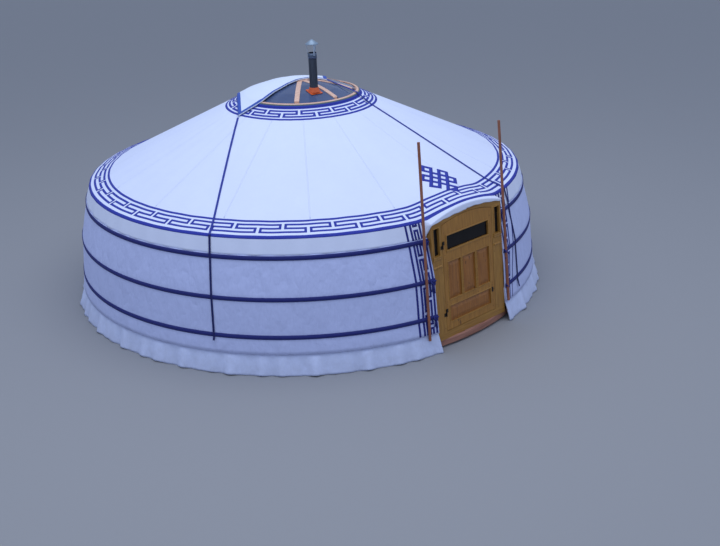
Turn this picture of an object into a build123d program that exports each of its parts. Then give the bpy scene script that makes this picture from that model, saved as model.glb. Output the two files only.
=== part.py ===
from build123d import *
from math import atan2, ceil, cos, degrees, floor, hypot, radians, sin, sqrt
import os

# A felt-covered round house: timber platform, trellis wall, roof poles, crown, door and canvas covers.
# Millimetres. Origin at ground level on the house's axis, door towards -Y, +Z up.

# Plan layout
poles_round = 48
sector_count = 6
seat_gap = 0.3

# Platform
platform_radius = 3080
platform_height = 110

# Outer canvas: heights of its main lines, and how far they stand in from the platform's edge
crown_edge_radius = 791
crown_edge_height = 2599
crease_inset = 446
crease_height = 1717
eave_inset = 180
eave_height = 1624
valance_hem_height = 1420
valance_clearance = 5
roof_canvas = 14
wall_canvas = 14
skirt_canvas = 12
wall_top_height = 1590
wall_lap = 6
band_heights = (1390, 920, 463)
band_insets = (116, 11, -26)
band_flare = 4
wall_hem_height = 250
wall_hem_overhang = 55
skirt_top_height = 430
skirt_hem_overhang = 115
skirt_hem_height = 8
band_width = 52
band_thickness = 4

# Trellis wall
trellis_top_height = 1548
trellis_foot_inset = 50
trellis_middle_inset = 58
trellis_top_inset = 218
lath_width = 34
lath_thickness = 12
lath_overlap = 4
lath_span_bays = 3.4

# Roof poles
roof_pole_width = 32
roof_pole_foot_inset = 208
roof_pole_chamfer = 9
ridge_clearance = 0.9

# Crown
ring_outer_radius = 782
ring_inner_radius = 690
ring_top_height = 2622
ring_depth = 96
spoke_count = 8
spoke_width = 62
spoke_depth = 58
hub_radius = 105
hub_depth = 90
dome_height = 2785
pane_thickness = 5
pane_drop = 4
pane_edge_radius = 744
pane_bend_radii = (520, 270)
pane_facets = 16
crown_post_offset = 560
crown_post_width = 80
crown_post_corner = 16
crown_beam_length = 300
crown_beam_depth = 40
crown_beam_offset = 660

# Door, set on a plane that leans in with the wall
door_lean = 4
door_inset = 35
frame_half_width = 625
opening_half_width = 451
frame_depth = 150
panel_depth = 70
outer_stile_width = 35
sill_height = 92
post_top = 1425
lintel_end_height = 1479
lintel_middle_height = 1584
leaf_gap = 5
leaf_foot_gap = 6
leaf_thickness = 45
leaf_corner_height = 1423
leaf_middle_height = 1486
stop_width = 20
window_half_width = 372
window_bottom = 1100
window_top = 1280
upper_panel_bottom = 480
upper_panel_top = 950
lower_panel_bottom = 195
lower_panel_top = 395
panel_half_width = 370
muntin_width = 40
panel_recess = 14
panel_field_inset = 14
panel_field_rise = 11
panel_bevel = 40
glass_thickness = 6
sidelight_inner = 500
sidelight_outer = 590
sidelight_bottom = 1075
sidelight_top = 1412
roll_width = 140
roll_heights = (1035, 935)
roll_radius = 17
ledge_rise = 12
ledge_height = 24
bead_radius = 12
bead_lap = 16
hinge_heights = (330, 1180)
knuckle_radius = 8
knuckle_length = 45
hinge_pin_radius = 4
hinge_pin_clearance = 0.06
hinge_plate_width = 36
hinge_plate_thickness = 2
hinge_plate_gap = 0.5
hinge_pin_shortfall = 2
lock_height = 370
lock_plate_width = 30
lock_plate_height = 62
lock_plate_thickness = 3
keyhole_rise = 7.75
keyhole_radius = 4
keyhole_slot = 16

# Canvas over the lintel
hood_front_gap = 1
hood_thickness = 9
hood_drop = 50
hood_lap = 8

# Chimney
pipe_radius = 54
pipe_wall = 3
pipe_offset = 480
pipe_angle = -109
pipe_bottom = 2450
pipe_top = 3225
collar_drop = 75
collar_depth = 40
collar_rise = 4
cap_radius = 86
cap_gap = 105
cap_rise = 65
cap_sheet = 3
cap_tip_radius = 8
strut_width = 12
strut_lap = 20
strut_reach = 68
boot_plate = 170
boot_plate_thickness = 5
boot_plate_corner = 17
boot_height = 60
boot_skirt_radius = 78
boot_neck = 5

# Props leaning at each side of the door
prop_radius = 17
left_prop_foot = (-775, 22.1, 195)
left_prop_head = (-735, 207, 2588)
right_prop_foot = (650, -4.9, 270)
right_prop_head = (700, 240.1, 2549)

# Crown cover and its straps
cover_cloth = 12
cover_rise = 12
cover_gap = 1
cover_reach = 1500
cover_edge_lap = 20
cover_ring_lap = 30
cover_corners = (
    (-1061, 18),
    (-750, -115),
    (-60, -60),
    (92, -77),
    (222, -186),
    (276, -231),
    (700, 300),
    (560, 930),
    (-300, 1010),
)
strap_width = 24
strap_thickness = 5
strap_clearance = 4.4
strap_rise = 10
strap_points = 8
strap_edge_step = 0.001
left_strap_top = (-1061.3, 17.8)
left_strap_angle = -153
right_strap_top = (276.1, -231.3)
right_strap_angle = -71.5
left_strap_end = 400
right_strap_end = 330

bay = 360 / poles_round
sector_bays = poles_round // sector_count
sector_names = ("front_right", "right", "back_right", "back_left", "left", "front_left")
door_azimuth = -90
crease_radius = platform_radius - crease_inset
eave_radius = platform_radius - eave_inset
band_radii = [platform_radius - inset for inset in band_insets]
wall_hem_radius = platform_radius + wall_hem_overhang
skirt_hem_radius = platform_radius + skirt_hem_overhang
door_front = platform_radius - door_inset
cap_rim_height = pipe_top + cap_gap
cap_apex_height = cap_rim_height + cap_rise
roof_slope = (crown_edge_height - crease_height) / (crease_radius - crown_edge_radius)
roof_pitch = degrees(atan2(roof_slope, 1))

os.makedirs("parts", exist_ok=True)


def radial_plane(azimuth):
    """Upright plane through the axis: local X outwards, local Y up."""
    a = radians(azimuth)
    return Plane(origin=(0, 0, 0), x_dir=(cos(a), sin(a), 0), z_dir=(sin(a), -cos(a), 0))


def flat_between_poles(azimuth):
    """Canvas runs straight from pole to pole, so its radius dips between them by this factor."""
    offset = (azimuth - door_azimuth) % bay - bay / 2
    return cos(radians(bay / 2)) / cos(radians(offset))


def normal_of(start, end):
    """Unit normal on the left of a line in the (radius, height) plane."""
    length = hypot(end[0] - start[0], end[1] - start[1])
    return (start[1] - end[1]) / length, (end[0] - start[0]) / length


def shifted(points, distance):
    """The same open outline moved sideways by a distance, with mitred corners."""
    moved = []
    for i, point in enumerate(points):
        before = normal_of(points[max(i - 1, 0)], points[max(i, 1)])
        after = normal_of(points[min(i, len(points) - 2)], points[min(i + 1, len(points) - 1)])
        nx, ny = before[0] + after[0], before[1] + after[1]
        scale = distance * 2 / (nx * nx + ny * ny)
        moved.append((point[0] + nx * scale, point[1] + ny * scale))
    return moved


def skin(points, thickness):
    """Closed outline of a cloth whose outer face follows the points from the top down."""
    return list(points) + list(reversed(shifted(points, -thickness)))


def wedge(angle, foot):
    """Upright wedge of room from the door's azimuth round by an angle, from a height to above the crown."""
    reach = 2 * platform_radius
    edges = [radians(door_azimuth), radians(door_azimuth + angle)]
    with BuildPart() as room:
        with BuildSketch(Plane.XY.offset(foot)):
            Polygon((0, 0), *[(reach * cos(a), reach * sin(a)) for a in edges], align=None)
        extrude(amount=2 * crown_edge_height)
    return room.part


def sheet_round(outline, facets, count):
    """Sheet of one outline round the axis from the door's azimuth, in flat facets that meet at its own radius."""
    angle = 360 / facets
    inward = cos(radians(angle / 2))
    with BuildPart() as facet:
        with BuildSketch(radial_plane(door_azimuth + angle / 2)):
            Polygon(*[(r * inward, z) for r, z in outline], align=None)
        extrude(amount=2 * platform_radius * sin(radians(angle / 2)), both=True)
        add(wedge(angle, 0), mode=Mode.INTERSECT)
    with BuildPart() as sheet:
        add([facet.part.rotate(Axis.Z, k * angle) for k in range(count)])
    return sheet.part


def roof_height(x, y):
    """Height of the roof canvas's outer face above a point in plan."""
    radius = hypot(x, y) / flat_between_poles(degrees(atan2(y, x)))
    return crown_edge_height - (radius - crown_edge_radius) * roof_slope


def finish(part, name, colour):
    """Name a finished piece and write it."""
    part.label = name
    part.color = Color(*colour)
    export_step(part, f"parts/{name}.step")


white = (0.93, 0.94, 0.97)
navy = (0.1, 0.12, 0.5)
pine = (0.72, 0.45, 0.2)
larch = (0.62, 0.36, 0.28)
steel = (0.35, 0.38, 0.42)
pane_tint = (0.4, 0.45, 0.55)

door_plane = Plane(
    origin=(0, -door_front, platform_height),
    x_dir=(1, 0, 0),
    z_dir=(0, -cos(radians(door_lean)), sin(radians(door_lean))),
)

# Room that the door frame takes out of the walls: everything between its outer faces
with BuildPart() as door_bay:
    with BuildSketch(Plane.XY):
        with Locations((0, -platform_radius)):
            Rectangle(2 * (frame_half_width + seat_gap), 2 * platform_radius)
    extrude(amount=2 * crown_edge_height)

# Room that the lintel takes out of the roof
lintel_cut_back = door_plane.offset(-frame_depth - seat_gap)
with BuildPart() as lintel_bay:
    with BuildSketch(lintel_cut_back):
        with BuildLine():
            edge = frame_half_width + seat_gap
            Polyline((-edge, lintel_end_height + seat_gap), (-edge, 0), (edge, 0), (edge, lintel_end_height + seat_gap))
            ThreePointArc(
                (edge, lintel_end_height + seat_gap),
                (0, lintel_middle_height + seat_gap),
                (-edge, lintel_end_height + seat_gap),
            )
        make_face()
    extrude(amount=3 * frame_depth)

# Timber platform
with BuildPart() as platform:
    with BuildSketch(Plane.XY):
        Circle(platform_radius)
    extrude(amount=platform_height)
finish(platform.part, "platform", larch)

# Canvas lines from the top down
valance_hem_radius = band_radii[0] - valance_clearance
roof_line = [
    (crown_edge_radius, crown_edge_height),
    (crease_radius, crease_height),
    (eave_radius, eave_height),
    (valance_hem_radius, valance_hem_height),
]
roof_outline = skin(roof_line, roof_canvas)
valance_inner = shifted(roof_line, -roof_canvas - seat_gap)


def on_line(line, height):
    """Radius of a falling line at a height."""
    for (r0, z0), (r1, z1) in zip(line, line[1:]):
        if z0 >= height >= z1:
            return r0 + (r1 - r0) * (z0 - height) / (z0 - z1)
    return line[-1][0]


wall_line = [
    (on_line(valance_inner[2:], wall_top_height) - seat_gap, wall_top_height),
    (on_line(valance_inner[2:], valance_hem_height) - seat_gap, valance_hem_height - wall_lap),
    (band_radii[0], band_heights[0] + band_width / 2),
    (band_radii[0] + band_flare, band_heights[0] - band_width / 2),
    (band_radii[1], band_heights[1] + band_width / 2),
    (band_radii[1], band_heights[1] - band_width / 2),
    (band_radii[2], band_heights[2] + band_width / 2),
    (band_radii[2] + band_flare / 2, band_heights[2] - band_width / 2),
    (wall_hem_radius, wall_hem_height),
]
wall_outline = skin(wall_line, wall_canvas)
wall_inner = shifted(wall_line, -wall_canvas - seat_gap)
skirt_line = [
    (on_line(wall_inner, skirt_top_height), skirt_top_height),
    (on_line(wall_inner, wall_hem_height), wall_hem_height - wall_canvas),
    (skirt_hem_radius, skirt_hem_height),
]
skirt_outline = skin(skirt_line, skirt_canvas)

# Covers, one piece of each for every sector
covers = (
    ("wall_cover", wall_outline, door_bay),
    ("skirt", skirt_outline, door_bay),
    ("roof_cover", roof_outline, lintel_bay),
)
for cover_name, outline, doorway in covers:
    cover_sector = sheet_round(outline, poles_round, sector_bays)
    for index, sector_name in enumerate(sector_names):
        with BuildPart() as cover:
            add(cover_sector.rotate(Axis.Z, index * sector_bays * bay))
            if index in (0, sector_count - 1):
                add(doorway.part, mode=Mode.SUBTRACT)
        finish(cover.part, f"{cover_name}_{sector_name}", white)


def wall_point(inset, azimuth, height):
    """Point inside the platform's edge by an inset, at an azimuth from the door."""
    a = radians(door_azimuth + azimuth)
    radius = platform_radius - inset
    return Vector(radius * cos(a), radius * sin(a), height)


def lath(centre, lean, layer):
    """One bent lath of the trellis: it leans one way or the other and bends out at its middle."""
    half_span = lath_span_bays * bay / 2
    foot = wall_point(trellis_foot_inset - layer, centre - lean * half_span, platform_height + seat_gap)
    middle_height = (platform_height + trellis_top_height) / 2
    middle = wall_point(trellis_middle_inset - layer, centre, middle_height)
    head = wall_point(trellis_top_inset - layer, centre + lean * half_span, trellis_top_height)
    along = (head - foot).normalized()
    across = (head - foot).cross(middle - foot).normalized()
    if across.dot(Vector(0, 0, lean)) < 0:
        across = across * -1
    side = Plane(origin=foot, x_dir=along, z_dir=across)
    length = (head - foot).length
    m = side.to_local_coords(middle)
    bow = [(0, 0), (m.X, m.Y), (length, 0)]
    outline = shifted(bow, lath_thickness / 2) + list(reversed(shifted(bow, -lath_thickness / 2)))
    with BuildPart() as bar:
        with BuildSketch(side):
            Polygon(*outline, align=None)
        extrude(amount=lath_width / 2, both=True)
    return bar.part


layer_shift = (lath_thickness - lath_overlap) / 2
spare_laths = ceil(lath_span_bays / 2)
with BuildPart() as trellis_sector:
    for k in range(-spare_laths, sector_bays + spare_laths):
        add(lath((k + 0.5) * bay, 1, layer_shift))
        add(lath((k + 0.5) * bay, -1, -layer_shift))
    add(wedge(sector_bays * bay, platform_height + seat_gap), mode=Mode.INTERSECT)

for index, sector_name in enumerate(sector_names):
    with BuildPart() as trellis:
        add(trellis_sector.part.rotate(Axis.Z, index * sector_bays * bay))
        if index in (0, sector_count - 1):
            add(door_bay.part, mode=Mode.SUBTRACT)
    finish(trellis.part, f"trellis_{sector_name}", pine)

# Roof poles, each from a trellis head or the lintel up to the crown ring
pole_drop = (roof_canvas + roof_pole_width / 2) / cos(radians(roof_pitch)) + ridge_clearance


def roof_pole_height(radius):
    """Height of a roof pole's centre line at a radius."""
    return crown_edge_height - (radius - crown_edge_radius) * roof_slope - pole_drop


roof_pole_foot_radius = platform_radius - roof_pole_foot_inset
roof_pole_head_radius = ring_outer_radius + seat_gap
for quarter, quarter_name in enumerate(("front", "right", "back", "left")):
    quarter_poles = poles_round // 4
    first = quarter * quarter_poles - quarter_poles // 2
    with BuildPart() as roof_poles:
        for k in range(first, first + quarter_poles):
            azimuth = door_azimuth + k * bay
            a = radians(azimuth)
            foot = Vector(
                roof_pole_foot_radius * cos(a), roof_pole_foot_radius * sin(a), roof_pole_height(roof_pole_foot_radius)
            )
            head = Vector(0, 0, roof_pole_height(0))
            length = (head - foot).length * (1 - roof_pole_head_radius / roof_pole_foot_radius)
            with BuildSketch(Plane(origin=foot, x_dir=(-sin(a), cos(a), 0), z_dir=(head - foot))):
                Rectangle(roof_pole_width, roof_pole_width)
                chamfer(vertices(), roof_pole_chamfer)
            extrude(amount=length)
        with BuildSketch(Plane.XY.offset(crease_height)):
            Circle(ring_outer_radius + seat_gap)
        extrude(amount=crown_edge_height, mode=Mode.SUBTRACT)
        if quarter == 0:
            add(lintel_bay.part, mode=Mode.SUBTRACT)
    finish(roof_poles.part, f"roof_poles_{quarter_name}", pine)

# Crown ring
with BuildPart() as crown_ring:
    with BuildSketch(Plane.XY.offset(ring_top_height - ring_depth)):
        Circle(ring_outer_radius)
        Circle(ring_inner_radius, mode=Mode.SUBTRACT)
    extrude(amount=ring_depth)
finish(crown_ring.part, "crown_ring", pine)

# Dome of the crown, as a circle through its top and the panes' edge
dome_rise = dome_height - ring_top_height - seat_gap - pane_thickness
dome_radius = (pane_edge_radius**2 + dome_rise**2) / (2 * dome_rise)


def dome(radius):
    """Height of the panes' outer face at a radius."""
    return dome_height - dome_radius + sqrt(dome_radius**2 - radius**2)


spoke_start = hub_radius / 2
spoke_end = sqrt(ring_inner_radius**2 - (spoke_width / 2) ** 2) - seat_gap
spoke_middle = (spoke_start + spoke_end) / 2


def spoke_edge(radius, drop):
    """Point on a spoke's upper edge, or below it by a drop."""
    return radius, dome(radius) + pane_drop - drop


with BuildPart() as crown_spokes:
    with BuildSketch(Plane.XY.offset(dome_height + pane_drop - hub_depth)):
        Circle(hub_radius)
    extrude(amount=hub_depth + pane_drop)
    for k in range(spoke_count):
        with BuildSketch(radial_plane(door_azimuth + k * 360 / spoke_count)):
            with BuildLine():
                Line(spoke_edge(spoke_start, spoke_depth), spoke_edge(spoke_start, 0))
                ThreePointArc(spoke_edge(spoke_start, 0), spoke_edge(spoke_middle, 0), spoke_edge(spoke_end, 0))
                Line(spoke_edge(spoke_end, 0), spoke_edge(spoke_end, spoke_depth))
                ThreePointArc(
                    spoke_edge(spoke_end, spoke_depth),
                    spoke_edge(spoke_middle, spoke_depth),
                    spoke_edge(spoke_start, spoke_depth),
                )
            make_face()
        extrude(amount=spoke_width / 2, both=True)
finish(crown_spokes.part, "crown_spokes", pine)

# Panes between the spokes, bent in straight bands, one bored for the flue
pipe_x = pipe_offset * cos(radians(pipe_angle))
pipe_y = pipe_offset * sin(radians(pipe_angle))
pane_line = [
    (pane_edge_radius, dome(pane_edge_radius)),
    *[(r, dome(r)) for r in pane_bend_radii],
    (hub_radius + seat_gap, dome(hub_radius)),
]
pane_outline = [(r, z) for r, z in pane_line] + [(r, z - pane_thickness) for r, z in reversed(pane_line)]
with BuildPart() as crown_panes:
    add(sheet_round(pane_outline, pane_facets, pane_facets))
    with BuildSketch(Plane.XY.offset(ring_top_height)):
        Circle(hub_radius + seat_gap)
        with PolarLocations(0, spoke_count // 2, start_angle=door_azimuth, angular_range=180):
            Rectangle(2 * ring_outer_radius, spoke_width + 2 * seat_gap)
        with Locations((pipe_x, pipe_y)):
            Circle(pipe_radius + seat_gap)
    extrude(amount=dome_height, mode=Mode.SUBTRACT)
finish(crown_panes.part, "crown_panes", pane_tint)

# Two posts under the crown ring, each with a short beam
beam_foot = ring_top_height - ring_depth - crown_beam_depth
with BuildPart() as crown_posts:
    with BuildSketch(Plane.XY.offset(platform_height + seat_gap)):
        with Locations((-crown_post_offset, 0), (crown_post_offset, 0)):
            RectangleRounded(crown_post_width, crown_post_width, crown_post_corner)
    extrude(amount=beam_foot - platform_height - seat_gap)
    with BuildSketch(Plane.XY.offset(beam_foot)):
        with Locations((-crown_beam_offset, 0), (crown_beam_offset, 0)):
            Rectangle(crown_beam_length, crown_post_width)
    extrude(amount=crown_beam_depth - seat_gap)
finish(crown_posts.part, "crown_posts", pine)

# Chimney pipe with its collar, open from end to end
with BuildPart() as chimney_pipe:
    with BuildSketch(Plane.XY.offset(pipe_bottom)):
        with Locations((pipe_x, pipe_y)):
            Circle(pipe_radius)
    extrude(amount=pipe_top - pipe_bottom)
    with BuildSketch(Plane.XY.offset(pipe_top - collar_drop)):
        with Locations((pipe_x, pipe_y)):
            Circle(pipe_radius + collar_rise)
    extrude(amount=collar_depth)
    with BuildSketch(Plane.XY.offset(pipe_bottom)):
        with Locations((pipe_x, pipe_y)):
            Circle(pipe_radius - pipe_wall)
    extrude(amount=pipe_top, mode=Mode.SUBTRACT)
finish(chimney_pipe.part, "chimney_pipe", steel)

# Rain cap on three struts
with BuildPart() as chimney_cap:
    cap_plane = Plane(origin=(pipe_x, pipe_y, 0), x_dir=(1, 0, 0), z_dir=(0, -1, 0))
    with BuildSketch(cap_plane):
        Polygon(
            (0, cap_apex_height),
            (cap_tip_radius, cap_apex_height),
            (cap_radius, cap_rim_height),
            (cap_radius, cap_rim_height - cap_sheet),
            (0, cap_apex_height - 2 * cap_sheet),
            align=None,
        )
    revolve(axis=Axis((pipe_x, pipe_y, 0), (0, 0, 1)))
    for k in range(3):
        strut_azimuth = radians(pipe_angle + k * 120)
        strut_plane = Plane(
            origin=(pipe_x, pipe_y, 0),
            x_dir=(cos(strut_azimuth), sin(strut_azimuth), 0),
            z_dir=(sin(strut_azimuth), -cos(strut_azimuth), 0),
        )
        inner = pipe_radius + seat_gap
        rim_share = (cap_radius - strut_reach) / cap_radius
        rim_under = cap_rim_height + cap_rise * rim_share - cap_sheet
        with BuildSketch(strut_plane):
            Polygon(
                (inner, pipe_top - strut_lap),
                (inner + cap_sheet, pipe_top - strut_lap),
                (inner + cap_sheet, pipe_top),
                (strut_reach, rim_under + cap_sheet),
                (strut_reach - cap_sheet, rim_under + cap_sheet),
                (inner, pipe_top + cap_sheet),
                align=None,
            )
        extrude(amount=strut_width / 2, both=True)
finish(chimney_cap.part, "chimney_cap", steel)

# Rubber boot round the pipe, on a plate that lies on its pane
low_bend, high_bend = pane_bend_radii
pane_angle = 360 / pane_facets
pane_inward = cos(radians(pane_angle / 2))
pane_middle = door_azimuth + pane_angle * (floor((pipe_angle - door_azimuth) / pane_angle) + 0.5)
pane_fall = (dome(high_bend) - dome(low_bend)) / (low_bend - high_bend) / pane_inward
pipe_reach = pipe_offset * cos(radians(pipe_angle - pane_middle))
boot_tilt = atan2(pane_fall, 1)
boot_out = radians(pane_middle)
boot_plane = Plane(
    origin=(pipe_x, pipe_y, dome(low_bend) + (low_bend * pane_inward - pipe_reach) * pane_fall + seat_gap),
    x_dir=(-sin(boot_out), cos(boot_out), 0),
    z_dir=(cos(boot_out) * sin(boot_tilt), sin(boot_out) * sin(boot_tilt), cos(boot_tilt)),
)
with BuildPart() as flashing_boot:
    with BuildSketch(boot_plane):
        RectangleRounded(boot_plate, boot_plate, boot_plate_corner)
    extrude(amount=boot_plate_thickness)
    boot_foot = boot_plane.origin.Z
    with BuildSketch(Plane.XY.offset(boot_foot)) as boot_low:
        with Locations((pipe_x, pipe_y)):
            Circle(boot_skirt_radius)
    with BuildSketch(Plane.XY.offset(boot_foot + boot_height)) as boot_high:
        with Locations((pipe_x, pipe_y)):
            Circle(pipe_radius + boot_neck)
    loft()
    with BuildSketch(boot_plane.offset(-boot_plate)):
        Rectangle(3 * boot_plate, 3 * boot_plate)
    extrude(amount=boot_plate, mode=Mode.SUBTRACT)
    with BuildSketch(Plane.XY.offset(pipe_bottom)):
        with Locations((pipe_x, pipe_y)):
            Circle(pipe_radius + seat_gap)
    extrude(amount=pipe_top, mode=Mode.SUBTRACT)
finish(flashing_boot.part, "flashing_boot", (0.85, 0.35, 0.12))

# Wall bands, from one side of the door round the back to the other
covers_line = [
    roof_line[2],
    roof_line[3],
    *wall_line[2:],
]
with BuildPart() as wall_bands:
    for height in band_heights:
        line = [
            (on_line(covers_line, height + band_width / 2), height + band_width / 2),
            (on_line(covers_line, height - band_width / 2), height - band_width / 2),
        ]
        outer = shifted(line, band_thickness + seat_gap)
        add(sheet_round(skin(outer, band_thickness), poles_round, poles_round))
    add(door_bay.part, mode=Mode.SUBTRACT)
finish(wall_bands.part, "wall_bands", navy)


def top_height(x, y):
    """Height of the crown's or the roof's outer face above a point in plan."""
    if hypot(x, y) < ring_outer_radius:
        return dome(min(hypot(x, y), pane_edge_radius)) + pane_drop + strap_rise
    return roof_height(x, y)


def strap_line(top, angle, end_height):
    """Path of a strap, as plan distance and height: down the roof from a point, over the eave, down the wall."""
    a = radians(angle)
    foot = (eave_radius * cos(a), eave_radius * sin(a))
    run = hypot(foot[0] - top[0], foot[1] - top[1])
    forward = (foot[0] * (foot[0] - top[0]) + foot[1] * (foot[1] - top[1])) / run

    def distance(radius):
        """Plan distance along the strap at which it has reached a radius."""
        return run - forward + sqrt(forward**2 - eave_radius**2 + radius**2)

    line = []
    shares = [distance(crease_radius) / run * k / (strap_points - 1) for k in range(strap_points)]
    if hypot(*top) < ring_outer_radius:
        shares.append(distance(ring_outer_radius) / run - strap_edge_step)
    for share in sorted(shares):
        x = top[0] + (foot[0] - top[0]) * share
        y = top[1] + (foot[1] - top[1]) * share
        line.append((run * share, top_height(x, y) + strap_clearance))
    line.append((distance(eave_radius + strap_clearance), eave_height + strap_clearance))
    for height in band_heights:
        for edge_height in (height + band_width / 2, height - band_width / 2):
            radius = on_line(covers_line, edge_height) + band_thickness + strap_clearance
            line.append((distance(radius), edge_height))
    line.append((line[-1][0] + wall_hem_radius - band_radii[2], end_height))
    return foot, run, line


# Straps from the crown cover's corners down to the wall's foot
with BuildPart() as cover_straps:
    for top, angle, end_height in (
        (left_strap_top, left_strap_angle, left_strap_end),
        (right_strap_top, right_strap_angle, right_strap_end),
    ):
        foot, run, line = strap_line(top, angle, end_height)
        strap_plane = Plane(
            origin=(top[0], top[1], 0),
            x_dir=(foot[0] - top[0], foot[1] - top[1], 0),
            z_dir=(foot[1] - top[1], top[0] - foot[0], 0),
        )
        with BuildSketch(strap_plane):
            Polygon(*skin(shifted(line, strap_thickness), strap_thickness), align=None)
        extrude(amount=strap_width / 2, both=True)
finish(cover_straps.part, "cover_straps", navy)

# Props tied upright at each side of the door
with BuildPart() as door_props:
    for prop_ends in ((left_prop_foot, left_prop_head), (right_prop_foot, right_prop_head)):
        foot, head = [Vector(x, inset - platform_radius, height) for x, inset, height in prop_ends]
        run = head - foot
        with BuildSketch(Plane(origin=foot, x_dir=(1, 0, 0), z_dir=run)):
            RegularPolygon(prop_radius, 8)
        extrude(amount=run.length)
finish(door_props.part, "door_props", larch)

# Crown cover, folded back over half of the crown
cover_line = [
    (cover_reach, crown_edge_height - (cover_reach - crown_edge_radius) * roof_slope),
    (crown_edge_radius + cover_edge_lap, crown_edge_height + cover_rise),
    (ring_outer_radius - cover_ring_lap, ring_top_height + pane_thickness + pane_drop + cover_rise),
    *[(r, dome(r) + pane_drop + cover_rise / 2) for r in pane_bend_radii],
    (hub_radius, dome_height + 2 * pane_drop),
]
with BuildPart() as crown_cover:
    low = [(r, z + cover_gap) for r, z in cover_line]
    high = [(r, z + cover_gap + cover_cloth) for r, z in cover_line]
    add(sheet_round(low + list(reversed(high)), poles_round, poles_round))
    with BuildSketch(Plane.XY.offset(low[-1][1])):
        RegularPolygon(hub_radius, poles_round)
    extrude(amount=cover_cloth)
    with BuildSketch(Plane.XY.offset(crease_height)):
        Polygon(*cover_corners, align=None)
    extrude(amount=2 * crown_edge_height, mode=Mode.INTERSECT)
finish(crown_cover.part, "crown_cover", white)

# Door sill
with BuildPart() as door_sill:
    with BuildSketch(door_plane.offset(-frame_depth)):
        with Locations((0, (sill_height + seat_gap) / 2)):
            Rectangle(2 * frame_half_width, sill_height - seat_gap)
    extrude(amount=frame_depth)
    with BuildSketch(Plane.XY):
        Rectangle(4 * frame_half_width, 3 * platform_radius)
    extrude(amount=platform_height + seat_gap, mode=Mode.SUBTRACT)
finish(door_sill.part, "door_sill", pine)


def roll(x, height, length, radius):
    """Half-round moulding across the door's front."""
    start = door_plane.from_local_coords((x - length / 2, height, -radius / 3))
    with BuildPart() as bar:
        with BuildSketch(Plane(origin=start, x_dir=door_plane.z_dir, z_dir=(1, 0, 0))):
            RegularPolygon(radius, 16)
        extrude(amount=length)
    return bar.part


# Posts at each side, with a slot for a narrow side light, mouldings under it and a stop for the leaf
post_foot = sill_height + seat_gap
sidelight_middle = (sidelight_inner + sidelight_outer) / 2
for side, side_name in ((-1, "left"), (1, "right")):
    with BuildPart() as door_post:
        with BuildSketch(door_plane.offset(-panel_depth)):
            with Locations((side * (opening_half_width + frame_half_width) / 2, (post_foot + post_top) / 2)):
                Rectangle(frame_half_width - opening_half_width, post_top - post_foot)
            with Locations((side * sidelight_middle, (sidelight_bottom + sidelight_top) / 2)):
                Rectangle(sidelight_outer - sidelight_inner, sidelight_top - sidelight_bottom, mode=Mode.SUBTRACT)
        extrude(amount=panel_depth)
        with BuildSketch(door_plane.offset(-frame_depth)):
            with Locations((side * (frame_half_width - outer_stile_width / 2), (post_foot + post_top) / 2)):
                Rectangle(outer_stile_width, post_top - post_foot)
        extrude(amount=frame_depth)
        with BuildSketch(door_plane.offset(-leaf_thickness - leaf_gap)):
            stop_edge = opening_half_width - stop_width
            with Locations((side * (stop_edge + sidelight_inner) / 2, (post_foot + post_top) / 2)):
                Rectangle(sidelight_inner - stop_edge, post_top - post_foot)
        extrude(amount=leaf_thickness + leaf_gap - panel_depth)
        with BuildSketch(door_plane):
            with Locations((side * sidelight_middle, sidelight_bottom - ledge_height / 2)):
                Rectangle(roll_width, ledge_height)
        extrude(amount=ledge_rise)
        for height in roll_heights:
            add(roll(side * sidelight_middle, height, roll_width, roll_radius))
    finish(door_post.part, f"door_post_{side_name}", pine)

with BuildPart() as sidelight_panes:
    with BuildSketch(door_plane.offset(-panel_depth / 2)):
        for side in (-1, 1):
            with Locations((side * (sidelight_inner + sidelight_outer) / 2, (sidelight_bottom + sidelight_top) / 2)):
                Rectangle(
                    sidelight_outer - sidelight_inner - 2 * seat_gap, sidelight_top - sidelight_bottom - 2 * seat_gap
                )
    extrude(amount=glass_thickness)
finish(sidelight_panes.part, "sidelight_panes", pane_tint)

# Arched lintel that also carries the roof poles over the door
lintel_foot = post_top + seat_gap
opening_rise = leaf_middle_height + leaf_gap
with BuildPart() as door_lintel:
    with BuildSketch(door_plane.offset(-frame_depth)):
        with BuildLine():
            Polyline(
                (opening_half_width, leaf_corner_height + leaf_gap),
                (opening_half_width, lintel_foot),
                (frame_half_width, lintel_foot),
                (frame_half_width, lintel_end_height),
            )
            ThreePointArc(
                (frame_half_width, lintel_end_height), (0, lintel_middle_height), (-frame_half_width, lintel_end_height)
            )
            Polyline(
                (-frame_half_width, lintel_end_height),
                (-frame_half_width, lintel_foot),
                (-opening_half_width, lintel_foot),
                (-opening_half_width, leaf_corner_height + leaf_gap),
            )
            ThreePointArc(
                (-opening_half_width, leaf_corner_height + leaf_gap),
                (0, opening_rise),
                (opening_half_width, leaf_corner_height + leaf_gap),
            )
        make_face()
    extrude(amount=frame_depth)
finish(door_lintel.part, "door_lintel", pine)

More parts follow.
